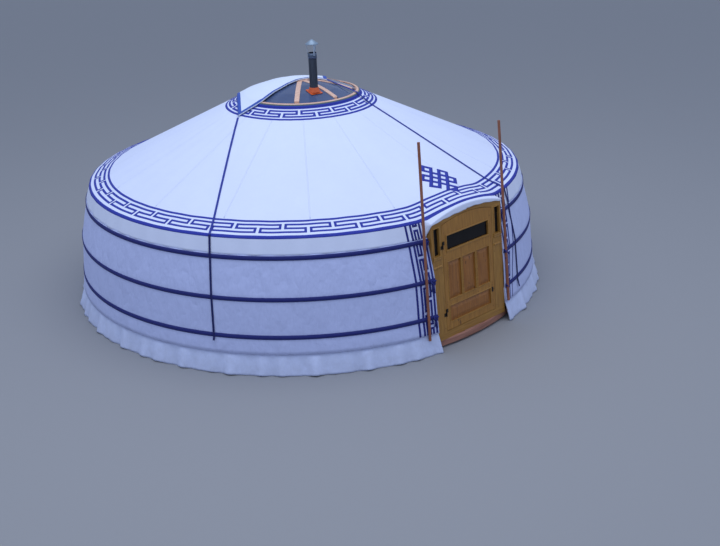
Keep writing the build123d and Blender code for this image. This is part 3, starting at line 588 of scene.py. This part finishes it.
def wall_radius(z):
    """Radius of the wall cover's line at a height."""
    return float(np.interp(z, [c[1] for c in wall_corners[::-1]], [c[0] for c in wall_corners[::-1]]))


wall_line = sampled(wall_corners, 0.05)
# The wall is the same white canvas as the roof, but its tint is darker: the darker tint is painted shade on
# the upright wall.
shaded_wall_cloth = canvas("wall_canvas", (0.545, 0.60, 0.89), 0.2, creases=2.6)
wall_sides = wall_faces(wall_line, wall_columns, wall_relief, 0.0, -wall_thickness)
wall_cover = cloth("wall_cover", wall_sides, shaded_wall_cloth)
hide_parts(*["wall_cover_" + name for name in sector_names])

# Skirt: a loose strip of canvas that hangs from behind the wall cover's lower edge. It covers the wall's
# foot and spreads on the ground in uneven folds.
skirt_corners = [(3.0945, 0.430), (3.118, 0.250), (3.121, 0.236), (3.195, 0.008)]
skirt_thickness, skirt_columns, free_height = 0.012, 1200, 0.236


def skirt_relief(azimuth, z):
    """Folds of the skirt, which grow towards its hem."""
    growth = max(0.0, (free_height - z) / free_height) ** 0.6
    return ripple(azimuth, (61, 0.014, 0.4), (37, 0.009, 1.7), (97, 0.010, 0.3), (19, 0.006, 2.2)) * growth


skirt_line = sampled(skirt_corners, 0.022)
skirt_cloth = canvas("skirt_canvas", (0.66, 0.73, 1.0), 0.5, creases=1.4)
skirt_sides = wall_faces(skirt_line, skirt_columns, skirt_relief, 0.0, -skirt_thickness)
skirt = cloth("skirt", skirt_sides, skirt_cloth)
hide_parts(*["skirt_" + name for name in sector_names])

# Bands: three lengths of navy webbing, drawn tight round the covers from one side of the door to the other
# and tied off at its frame.
band_outside, band_inside = 0.0085, 0.0015
webbing = Finish("navy_webbing", roughness=0.8)
weave = webbing.noise(webbing.stretched(webbing.place(), (1, 1, 4)), 260.0, 1.0)
webbing.set("Base Color", webbing.ramp(weave, (0.009, 0.013, 0.12), (0.017, 0.025, 0.21)))
webbing.bump(weave, 0.3, 0.002)


def no_relief(azimuth, z):
    return 0.0


for number, corners in enumerate(zip(wall_corners[2:8:2], wall_corners[3:8:2])):
    band_line = sampled(corners, 0.026)
    band_sides = wall_faces(band_line, wall_columns, no_relief, band_outside, band_inside)
    cloth(f"wall_band_{number + 1}", band_sides, webbing)
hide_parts("wall_bands")

# Roof cover: one round sheet of white canvas from the crown's edge over the eave to a hem above the top
# band. Over the door it is lifted by the lintel and hangs a little way down its front.
crown_edge, crease, eave, hem = (0.791, 2.599), (2.634, 1.717), (2.900, 1.624), (2.959, 1.420)
roof_thickness, bend_ease, near_door = 0.014, 0.035, 0.3
pole_sag, full_sag, hem_ripple = 0.0018, 0.6, 0.004
lift_span, lift_height, lift_start, lift_reach = radians(14.5), 0.1, 1.5, 1.4
lintel_end, lintel_middle, lintel_half = 1.479, 1.584, 0.625
hood_out, hood_up, hood_half, hood_overlap, hood_spread = 0.011, 0.0105, 0.632, 0.012, 3.009
left_hang, right_hang, least_hang, hang_wave, over_share = 0.055, 0.04, 0.012, 0.003, 0.4
crease_run = hypot(crease[0] - crown_edge[0], crown_edge[1] - crease[1])
eave_run = crease_run + hypot(eave[0] - crease[0], crease[1] - eave[1])
hem_run = eave_run + hypot(hem[0] - eave[0], eave[1] - hem[1])
lintel_radius = (lintel_half**2 + (lintel_middle - lintel_end) ** 2) / (2 * (lintel_middle - lintel_end))


def roof_point(azimuth, run, offset=0.0):
    """Point of the roof canvas at an azimuth from the door and a run down from the crown's edge."""
    azimuth = (azimuth + tau / 2) % tau - tau / 2
    runs = (0.0, crease_run, eave_run, hem_run)
    corners = (crown_edge, crease, eave, hem)

    def on(at):
        return np.array([np.interp(at, runs, [c[k] for c in corners]) for k in (0, 1)])

    near = min((abs(run - at), at) for at in (crease_run, eave_run))
    if near[0] < bend_ease:
        before, after, corner = on(near[1] - bend_ease), on(near[1] + bend_ease), on(near[1])
        s = (run - near[1] + bend_ease) / (2 * bend_ease)
        spot = before * (1 - s) ** 2 + corner * 2 * s * (1 - s) + after * s**2
        slope = (corner - before) * (1 - s) + (after - corner) * s
    else:
        spot, slope = on(run), on(run + 0.001) - on(run - 0.001)
    slope = slope / np.linalg.norm(slope)
    normal = np.array([-slope[1], slope[0]])
    sag = -pole_sag * (1 - cos(bay_count * azimuth)) * min(1.0, run / full_sag)
    below = (run - eave_run) / (hem_run - eave_run)
    if below > 0:
        sag += hem_ripple * below * (sin(67 * azimuth) + 0.7 * sin(41 * azimuth + 1.0))
    lifted = max(0.0, 1 - (azimuth / lift_span) ** 2) ** 1.5
    rise = lift_height * max(0.0, (spot[0] - lift_start) / lift_reach) ** 1.6 * lifted
    spot = spot + normal * (offset + sag)
    beside = abs(azimuth) < near_door and below > 0
    if not beside or abs(spot[0] * sin(azimuth)) >= hood_half - hood_overlap:
        if beside:
            least = asin(hood_half / spot[0])
            azimuth = (1 if azimuth > 0 else -1) * max(abs(azimuth), least)
        a = azimuth - tau / 4
        return np.array([spot[0] * cos(a), spot[0] * sin(a), spot[1] + rise])
    # Over the lintel: out to its front edge, then down its face.
    x = hood_spread * sin(azimuth)
    arch = lintel_middle - (lintel_radius - sqrt(lintel_radius**2 - x**2))
    hang = (left_hang if x < 0 else right_hang) * (1 - (x / hood_half) ** 2)
    hang += least_hang + hang_wave * sin(34 * x)
    out, up = hood_out + offset, arch + hood_up + offset
    if below > over_share:
        up -= (below - over_share) / (1 - over_share) * (hang + hood_up + offset)
    front = np.array(door_spot(x, up, out))
    if below >= over_share:
        return front
    start = roof_point(azimuth, eave_run, offset)
    return start + (front - start) * (below / over_share)


hood_edge, hood_clearance = 0.61, 0.004
over_door, beside_door = [asin(x / eave[0]) for x in (hood_edge, hood_half + hood_clearance)]
roof_azimuths = np.concatenate([
    np.linspace(-over_door, over_door, 81),
    np.linspace(beside_door, tau - beside_door, 540),
])
roof_runs = np.concatenate([
    np.linspace(0, crease_run - bend_ease, 30),
    np.linspace(crease_run - 0.02, eave_run - bend_ease, 9),
    np.linspace(eave_run - 0.025, eave_run + bend_ease, 7),
    np.linspace(eave_run + 0.055, hem_run, 8),
])


def two_faces(point, rows, columns, *offsets):
    """Grids of a sheet's outer and inner face; point places a column, a row and an offset."""
    return [np.array([[point(c, r, offset) for c in columns] for r in rows]) for offset in offsets]


roof_cloth = canvas("roof_canvas", (0.74, 0.79, 0.97))
roof_sides = two_faces(roof_point, roof_runs, roof_azimuths, 0.0, -roof_thickness)
roof_cover = cloth("roof_cover", roof_sides, roof_cloth, ring=True)
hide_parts(*["roof_cover_" + name for name in sector_names], "door_hood")

# Border on the roof cover: blue tape sewn on in a broken meander, thirty repeats along the eave and
# thirteen round the crown, between plain lines.
tape = Finish("blue_tape", roughness=0.8)
tape_weave = tape.noise(tape.place(), 420.0, 1.0)
tape.set("Base Color", tape.ramp(tape_weave, (0.014, 0.026, 0.30), (0.024, 0.042, 0.38)))
tape_rise, tape_sink = 0.0022, -0.002
strip_degrees, strip_spacing = 0.75, 0.008
strips = []


def strip(first, last, low, high):
    """Tape on the roof between two azimuths in degrees from the door and two runs."""
    columns = max(2, int(abs(last - first) / strip_degrees) + 2)
    rows = max(2, int((high - low) / strip_spacing) + 1)
    azimuths = np.radians(np.linspace(first, last, columns))
    runs = np.linspace(low, high, rows)
    strips.append(two_faces(roof_point, runs, azimuths, tape_rise, tape_sink))


def border(lines, widths, repeats, first_gap, second_gap, gap):
    """A broken meander between an upper and a lower line; lines are runs and widths their tape widths."""
    step = 360 / repeats
    for run, width in ((lines[0], widths[0]), (lines[4], widths[2])):
        strip(0, 360, run - width / 2, run + width / 2)
    half = widths[1] / 2
    wide = degrees(half / (crown_edge[0] + (eave[0] - crown_edge[0]) * lines[2] / eave_run))
    for k in range(repeats):
        g1, g2 = first_gap + k * step, second_gap + k * step
        to_second = (g2 - g1) % step
        for first, reach, run in (
            (g1, step, lines[1]),
            (g2, step, lines[3]),
            (g1, to_second, lines[2]),
            (g2, step - to_second, lines[2]),
        ):
            strip(first + gap / 2 - wide, first + reach - gap / 2 + wide, run - half, run + half)
        for centre, top, bottom in ((g1, lines[1], lines[2]), (g2, lines[2], lines[3])):
            for side in (-1, 1):
                middle = centre + side * gap / 2
                strip(middle - wide, middle + wide, top + half, bottom - half)


def one_piece(name, sheets, finish):
    """Several closed sheets as one object."""
    points, faces = [], []
    for pair in sheets:
        part = cloth(name + "_part", pair, finish)
        start = len(points)
        points += [tuple(v.co) for v in part.data.vertices]
        faces += [tuple(start + i for i in f.vertices) for f in part.data.polygons]
        bpy.data.objects.remove(part)
    return new_piece(name, points, faces, finish)


eave_lines = [crease_run + s * (eave_run - crease_run) for s in (0.0, 0.222, 0.463, 0.704, 1.0)]
border(eave_lines, (0.030, 0.030, 0.048), 30, first_gap=-22.1, second_gap=-28.0, gap=1.3)
crown_slope = crease_run / (crease[0] - crown_edge[0])
crown_lines = [(r - crown_edge[0]) * crown_slope for r in (0.8065, 0.858, 0.908, 0.957, 1.005)]
border(crown_lines, (0.030, 0.030, 0.030), 13, first_gap=-42.4, second_gap=-28.5, gap=3.9)

# Endless knot over the door: blue tape sewn on the roof cover, laid corner up, with three tapes each way and
# the loops that join their ends.
knot_run, knot_pitch, knot_tape, over_rise = 1.80, 0.105, 0.046, 0.0006
knot_turn = radians(2.5)
knot_half = knot_tape / knot_pitch / 2
knot_strokes = [((k, 0), (k, 4)) for k in (1, 2, 3)] + [((0, k), (4, k)) for k in (1, 2, 3)]
knot_strokes += [((0, 0), (0, 1)), ((0, 2), (0, 3)), ((4, 1), (4, 2)), ((4, 3), (4, 4))]
knot_strokes += [((0, 0), (1, 0)), ((2, 0), (3, 0)), ((1, 4), (2, 4)), ((3, 4), (4, 4))]


def slope_radius(run):
    """Radius of the roof's slope at a run down from the crown's edge."""
    return np.interp(run, (0, crease_run), (crown_edge[0], crease[0]))


def knot_place(i, j, offset):
    """Point of the knot's grid on the roof: i runs down to the right and j down to the left."""
    right, down = (i - j) * knot_pitch / sqrt(2), (i + j - 4) * knot_pitch / sqrt(2)
    return roof_point(knot_turn + right / slope_radius(knot_run + down), knot_run + down, offset)


for (i0, j0), (i1, j1) in knot_strokes:
    length = max(i1 - i0, j1 - j0)
    along = np.linspace(-knot_half, length + knot_half, 4 * length + 2)

    def tape_point(side, at, offset):
        i, j = (side, at) if i0 == i1 else (at, -side)
        return knot_place(i0 + i, j0 + j, offset)

    rise = tape_rise + over_rise * (i0 == i1)
    strips.append(two_faces(tape_point, along, (-knot_half, knot_half), rise, tape_sink))
roof_border = one_piece("roof_border", strips, tape)

# Seams of the roof cover: narrow flat-felled seams that join its lengths of canvas. They run from the
# crown's border down to the eave's.
seam_count, seam_width, seam_rise, seam_sink = 16, 0.016, 0.0008, -0.002
seam_turn, seam_runs = radians(5.6), np.linspace(0.26, crease_run - 0.03, 40)
seams = []
for k in range(seam_count):
    middle = seam_turn + tau * k / seam_count

    def seam_point(side, run, offset):
        return roof_point(middle + side * seam_width / 2 / slope_radius(run), run, offset)

    seams.append(two_faces(seam_point, seam_runs, (-1, 1), seam_rise, seam_sink))
roof_seams = one_piece("roof_seams", seams, roof_cloth)

# Trim beside the door: a strip of plain tapes and a broken meander down each side, from the eave to the
# wall's foot. The right strip is drawn in towards the door at its foot.
trim_rise, trim_sink = 0.0014, -0.002
trim_edges = {-1: ((-0.872, -0.885), (-0.655, -0.655)), 1: ((1.020, 0.790), (0.680, 0.655))}
trim_top, trim_foot, hem_gap_above, hem_gap_below, shortest_trim = 1.606, 0.262, 0.002, 0.006, 0.004
outer_line, middle_line, inner_line, trim_step, trim_gap, trim_start = 0.44, 0.62, 0.80, 0.34, 0.055, 0.05
# The trim tape is the roof border's blue tape in a darker tone: the darkening is painted shade on the wall
# and the valance.
shaded_trim_tapes = mottled("trim_tape_painted_shade", (0.015, 0.024, 0.23), (0.009, 0.014, 0.16), 320.0, 0.8, 0.0, 0.0004)


def trim_point(side, share, z, offset):
    """Point of a trim strip: share runs from its outer edge to the edge beside the door."""
    drop = (trim_top - z) / (trim_top - trim_foot)
    outer, inner = [top + (low - top) * drop for top, low in trim_edges[side]]
    x = outer + (inner - outer) * share
    if z > hem[1]:
        run = eave_run + (eave[1] - z) / (eave[1] - hem[1]) * (hem_run - eave_run)
        return roof_point(asin(x / np.interp(z, (hem[1], eave[1]), (hem[0], eave[0]))), run, offset)
    radius = wall_radius(z)
    azimuth = asin(x / radius)
    radius += offset + wall_relief(azimuth % tau, z)
    return np.array([radius * sin(azimuth), -radius * cos(azimuth), z])


trims = []


def trim(side, first, last, top, low):
    """Tape of a trim strip between two shares across it and two heights, cut off at the strip's ends."""
    top, low = min(top, trim_top), max(low, trim_foot)
    for high, foot in ((top, max(low, hem[1] + hem_gap_above)), (min(top, hem[1] - hem_gap_below), low)):
        if high - foot > shortest_trim:
            heights = np.linspace(high, foot, max(2, int((high - foot) / 0.02) + 1))
            shares = np.linspace(first, last, max(2, int((last - first) / 0.15) + 1))
            if side > 0:
                shares = shares[::-1]
            trims.append(two_faces(partial(trim_point, side), heights, shares, trim_rise, trim_sink))


for side, tape_wide, plain_shares in ((-1, 0.025, (0.0, 0.27, 1.0)), (1, 0.034, (0.0, 1.0))):
    wide = tape_wide / abs(trim_edges[side][1][0] - trim_edges[side][0][0])
    for share in plain_shares:
        trim(side, share - wide / 2, share + wide / 2, trim_top, trim_foot)
    half = tape_wide / 2
    for k in range(-1, 4):
        g1 = trim_top - trim_start - k * trim_step
        g2 = g1 - trim_step * 0.5
        for share, start, end in (
            (outer_line, g1, g1 - trim_step),
            (inner_line, g2, g2 - trim_step),
            (middle_line, g1, g2),
            (middle_line, g2, g1 - trim_step),
        ):
            high, foot = start - trim_gap / 2 + half, end + trim_gap / 2 - half
            trim(side, share - wide / 2, share + wide / 2, high, foot)
        for middle, first, last in ((g1, outer_line, middle_line), (g2, middle_line, inner_line)):
            for z in (middle - trim_gap / 2, middle + trim_gap / 2):
                if trim_foot < z - half and z + half < trim_top:
                    trim(side, first + wide / 2, last - wide / 2, z + half, z - half)
door_trims = one_piece("door_trims", trims, shaded_trim_tapes)

# Band knots: each band of webbing is tied off beside the door frame in a flat knot. Its two short ends hang
# down on the wall cover.
knot_cord, knot_size, knot_flat, knot_aside, knot_out = 0.009, 0.0105, 0.8, 0.668, 0.024
tail_start, tail_spread, tail_wave = 0.01, 0.6, 0.004


def drawn(name, paths, radius, finish):
    """Round cord drawn along closed or open paths by a node tree and then made plain."""
    points, edges = [], []
    for path, closed in paths:
        start = len(points)
        points += path
        edges += [(start + i, start + i + 1) for i in range(len(path) - 1)]
        if closed:
            edges.append((start + len(path) - 1, start))

    def cord(tree, given):
        line = tree.nodes.new("GeometryNodeMeshToCurve")
        ring = tree.nodes.new("GeometryNodeCurvePrimitiveCircle")
        ring.inputs["Resolution"].default_value = 10
        sweep = tree.nodes.new("GeometryNodeCurveToMesh")
        sweep.inputs["Fill Caps"].default_value = True
        tree.links.new(given.outputs["Geometry"], line.inputs["Mesh"])
        tree.links.new(given.outputs["Radius"], ring.inputs["Radius"])
        tree.links.new(line.outputs["Curve"], sweep.inputs["Curve"])
        tree.links.new(ring.outputs["Curve"], sweep.inputs["Profile Curve"])
        return sweep.outputs["Mesh"]

    line_mesh = plain_mesh(name, points, edges=edges)
    return from_tree(name, line_mesh, {"Radius": ("NodeSocketFloat", radius)}, finish, "house", cord)


knots = []
left_knots = ((-1, 1.372, 1.0), (-1, 0.905, 1.25), (-1, 0.455, 1.1))
right_knots = ((1, 1.380, 1.0), (1, 0.912, 1.0), (1, 0.458, 1.0))
for side, z, scale in left_knots + right_knots:
    radius = wall_radius(z) + knot_out
    azimuth = asin(side * knot_aside / radius)
    out = np.array([sin(azimuth), -cos(azimuth), 0])
    aside = np.array([cos(azimuth), sin(azimuth), 0])
    up = np.array([0, 0, 1.0])
    centre = out * radius + up * z
    size = knot_size * scale
    loop = []
    for t in np.linspace(0, tau, 48, endpoint=False):
        spot = aside * (sin(t) + 2 * sin(2 * t)) + up * knot_flat * (cos(t) - 2 * cos(2 * t))
        loop.append(centre + size * (spot - out * knot_flat * sin(3 * t)))
    knots.append((loop, True))
    for lean, length in ((-0.35, 0.085 * scale), (0.25, 0.105 * scale)):
        tail = []
        for t in np.linspace(0, 1, 8):
            spot = aside * lean * length * t * tail_spread - up * (tail_start + length * t)
            tail.append(centre + spot + out * tail_wave * sin(3 * t))
        knots.append((tail, False))
band_knots = drawn("band_knots", knots, knot_cord, webbing)

# Crown panes: bent clear sheets laid on the spokes, inside a wooden rail with a green rubber gasket. A
# collar of blue tape lies round it on the roof cover's edge.
pane_glass = mottled("crown_pane", (0.080, 0.117, 0.235), (0.066, 0.097, 0.195), 3.0, 0.16)
pane_glass.set("Alpha", 0.85)
on_nodes(pane_glass, "crown_panes")
gasket = mottled("gasket", (0.12, 0.165, 0.15), (0.08, 0.115, 0.105), 40.0, 0.7)
rail_outline = [(0.742, 2.6225), (0.776, 2.6225), (0.776, 2.634), (0.742, 2.641)]
rail = revolved("pane_rail", rail_outline, 96, crown_finish)
gasket_outline = [(0.777, 2.600), (0.7905, 2.600), (0.7905, 2.622), (0.786, 2.631), (0.777, 2.633)]
pane_gasket = revolved("pane_gasket", gasket_outline, 96, gasket)
collar_outline = [(0.7908, 2.6005), (0.8035, 2.5955), (0.8035, 2.600), (0.7945, 2.6195), (0.7908, 2.6195)]
crown_collar = revolved("crown_collar", collar_outline, 96, tape)

# Chimney: an enamelled steel pipe with a steel sleeve, led through a pane in an orange silicone boot. Its
# cap is a thin steel cone on three struts, open at the sides.
enamel_light, enamel_dark = (0.070, 0.084, 0.110), (0.042, 0.050, 0.070)
flue_enamel = mottled("flue_enamel", enamel_light, enamel_dark, 22.0, 0.38, 0.6, stretch=(1, 1, 0.25))
on_nodes(flue_enamel, "chimney_pipe")
cap_steel = mottled("cap_steel", (0.32, 0.41, 0.50), (0.23, 0.30, 0.38), 28.0, 0.45, 0.6)
on_nodes(mottled("boot_silicone", (0.74, 0.13, 0.028), (0.60, 0.092, 0.020), 30.0, 0.5), "flashing_boot")

pipe_centre, pipe_radius, pipe_top, cap_top = (-0.15627, -0.45385), 0.054, 3.225, 3.395
cap_rim = (0.086, 3.338)
cap_tip, cap_sheet = 0.007, 0.007
cap_outline = [
    (0, cap_top),
    (cap_tip, cap_top - 0.001),
    cap_rim,
    (cap_rim[0] - 0.001, cap_rim[1] - 0.006),
    (cap_tip, cap_top - cap_sheet),
    (0, cap_top - cap_sheet),
]
cap_cone = revolved("cap_cone", cap_outline[::-1], 64, cap_steel, centre=pipe_centre)
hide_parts("chimney_cap")
strut_half, strut_thickness, strut_seat = 0.007, 0.003, pipe_radius + 0.0045
strut_section = [(-strut_half, 0), (strut_half, 0)]
strut_section += [(strut_half, strut_thickness), (-strut_half, strut_thickness)]
strut_line = ((strut_seat, pipe_top - 0.030), (strut_seat, pipe_top), (0.072, cap_rim[1] + 0.004))
strut_points, strut_faces = [], []
for k in range(3):
    a = radians(-109 + 120 * k)
    along, outward = np.array([sin(a), -cos(a)]), np.array([cos(a), sin(a)])
    rings = []
    for reach, high in strut_line:
        spots = [outward * (reach + deep) + along * side for side, deep in strut_section]
        rings.append([(pipe_centre[0] + x, pipe_centre[1] + y, high) for x, y in spots])
    points, faces = lofted(rings, len(strut_points))
    strut_points += points
    strut_faces += faces
bright_steel = mottled("strut_steel", (0.48, 0.57, 0.68), (0.36, 0.43, 0.52), 40.0, 0.4, 0.3)
cap_struts = new_piece("cap_struts", strut_points, strut_faces, bright_steel, smooth=False)
sleeve_outline = [(0.0545, 3.148), (0.0585, 3.148), (0.0585, 3.192), (0.0572, 3.196)]
sleeve_outline += [(0.0572, 3.222), (0.0545, 3.222)]
sleeve_steel = mottled("sleeve_steel", (0.11, 0.145, 0.21), (0.070, 0.095, 0.14), 30.0, 0.35, 0.6)
pipe_sleeve = revolved("pipe_sleeve", sleeve_outline, 64, sleeve_steel, centre=pipe_centre)

# Crown cover: a square of canvas bound with blue tape, folded back over half of the crown. It is held by two
# straps of webbing that run from its corners over the eave and most of the way down the wall.
cover_front = [(-1.061, 0.018), (-0.750, -0.115), (-0.060, -0.060), (0.092, -0.077)]
cover_front += [(0.222, -0.186), (0.276, -0.231)]
cover_right = [(0.276, -0.231), (0.700, 0.300), (0.560, 0.930)]
cover_back = [(-0.300, 1.010), (0.560, 0.930)]
cover_left = [(-1.061, 0.018), (-0.300, 1.010)]
cover_gap, cover_thickness, fold_roll, fold_share = 0.002, 0.010, 0.008, 0.05
binding_down, binding_aside, binding_rise, binding_sink = 0.042, 0.034, 0.0018, -0.002
dome_top, pane_reach, dome_rise, spoke_lift, cover_reach = 2.785, 0.744, 0.1577, 0.010, 1.5
dome_radius = (pane_reach**2 + dome_rise**2) / (2 * dome_rise)


def dome(radius):
    return dome_top - dome_radius + sqrt(dome_radius**2 - radius**2)


def cover_height(x, y):
    """Height of the crown cover's underside over a point in plan."""
    radii = (0.105, 0.27, 0.52, 0.752, 0.811, cover_reach)
    roof_fall = (crown_edge[1] - crease[1]) / (crease[0] - crown_edge[0])
    on_roof = crown_edge[1] - (cover_reach - crown_edge[0]) * roof_fall
    heights = (2.793, dome(0.27) + spoke_lift, dome(0.52) + spoke_lift, 2.643, 2.611, on_roof)
    slack = 0.0035 * (1 + sin(9 * x + 4 * y + 1.0) * sin(7 * y - 3 * x))
    return float(np.interp(hypot(x, y), radii, heights)) + cover_gap + slack


def on_side(side, share):
    """Point at a share of a side's length."""
    lengths = [0.0]
    for (x0, y0), (x1, y1) in zip(side, side[1:]):
        lengths.append(lengths[-1] + hypot(x1 - x0, y1 - y0))
    at = share * lengths[-1]
    return np.array([np.interp(at, lengths, [p[k] for p in side]) for k in (0, 1)])


def cover_place(u, v, lift):
    """Point of the crown cover: u runs along the fold from left to right and v from the fold to the back."""
    flat = (1 - v) * on_side(cover_front, u) + v * on_side(cover_back, u)
    flat += (1 - u) * on_side(cover_left, v) + u * on_side(cover_right, v)
    corners = [np.array(p) for p in (cover_front[0], cover_front[-1], cover_back[0], cover_back[-1])]
    for corner, share in zip(corners, ((1 - u) * (1 - v), u * (1 - v), (1 - u) * v, u * v)):
        flat -= share * corner
    roll = fold_roll * max(0.0, 1 - v / fold_share) if lift > cover_gap else 0.0
    return np.array([flat[0], flat[1], cover_height(*flat) + lift + roll])


fold_steps, back_steps = np.linspace(0, 1, 64), np.linspace(0, 1, 50)[::-1]
cover_finish = canvas("crown_cover_canvas", (0.74, 0.80, 0.93))
cover_sides = two_faces(cover_place, back_steps, fold_steps, cover_thickness, 0.0)
crown_cover = cloth("crown_cover_cloth", cover_sides, cover_finish)
edges = []
for us, vs in (
    (fold_steps, np.linspace(binding_down, 0, 3)),
    (np.linspace(0, binding_aside, 3), back_steps),
    (np.linspace(1 - binding_aside, 1, 3), back_steps),
    (fold_steps, np.linspace(1, 1 - binding_down, 3)),
):
    lifts = (cover_thickness + binding_rise, cover_thickness + binding_sink)
    edges.append(two_faces(cover_place, vs, us, *lifts))
binding = mottled("edge_tape", (0.034, 0.096, 0.47), (0.024, 0.070, 0.36), 260.0, 0.75, 0.0, 0.0004)
cover_binding = one_piece("crown_cover_binding", edges, binding)
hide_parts("crown_cover")
strap_webbing = Finish("strap_webbing", roughness=0.8)
strap_spot = strap_webbing.place()
strap_weave = strap_webbing.noise(strap_spot, 300.0, 1.0)
# The straps are one navy webbing, painted lighter above the eave where they lie on the roof and darker below
# it down the wall: painted light and shade.
painted_light_above_eave = strap_webbing.axes(strap_spot)[2] > eave[1]
strap_painted_light_and_shade = strap_webbing.mix(painted_light_above_eave, (0.008, 0.012, 0.11), (0.022, 0.042, 0.34))
strap_webbing.set("Base Color", strap_webbing.mix(strap_weave * 0.5, strap_painted_light_and_shade, (0.004, 0.006, 0.07)))
strap_webbing.bump(strap_weave, 0.3, 0.002)
on_nodes(strap_webbing, "cover_straps")

# Props: two round poles of reddish wood, one at each side of the door. They are leaned against the roof
# cover.
prop_finish = wood("prop_pole", (0.36, 0.125, 0.062), (0.21, 0.075, 0.045), "Z", 0.6)
on_nodes(prop_finish, "door_props")
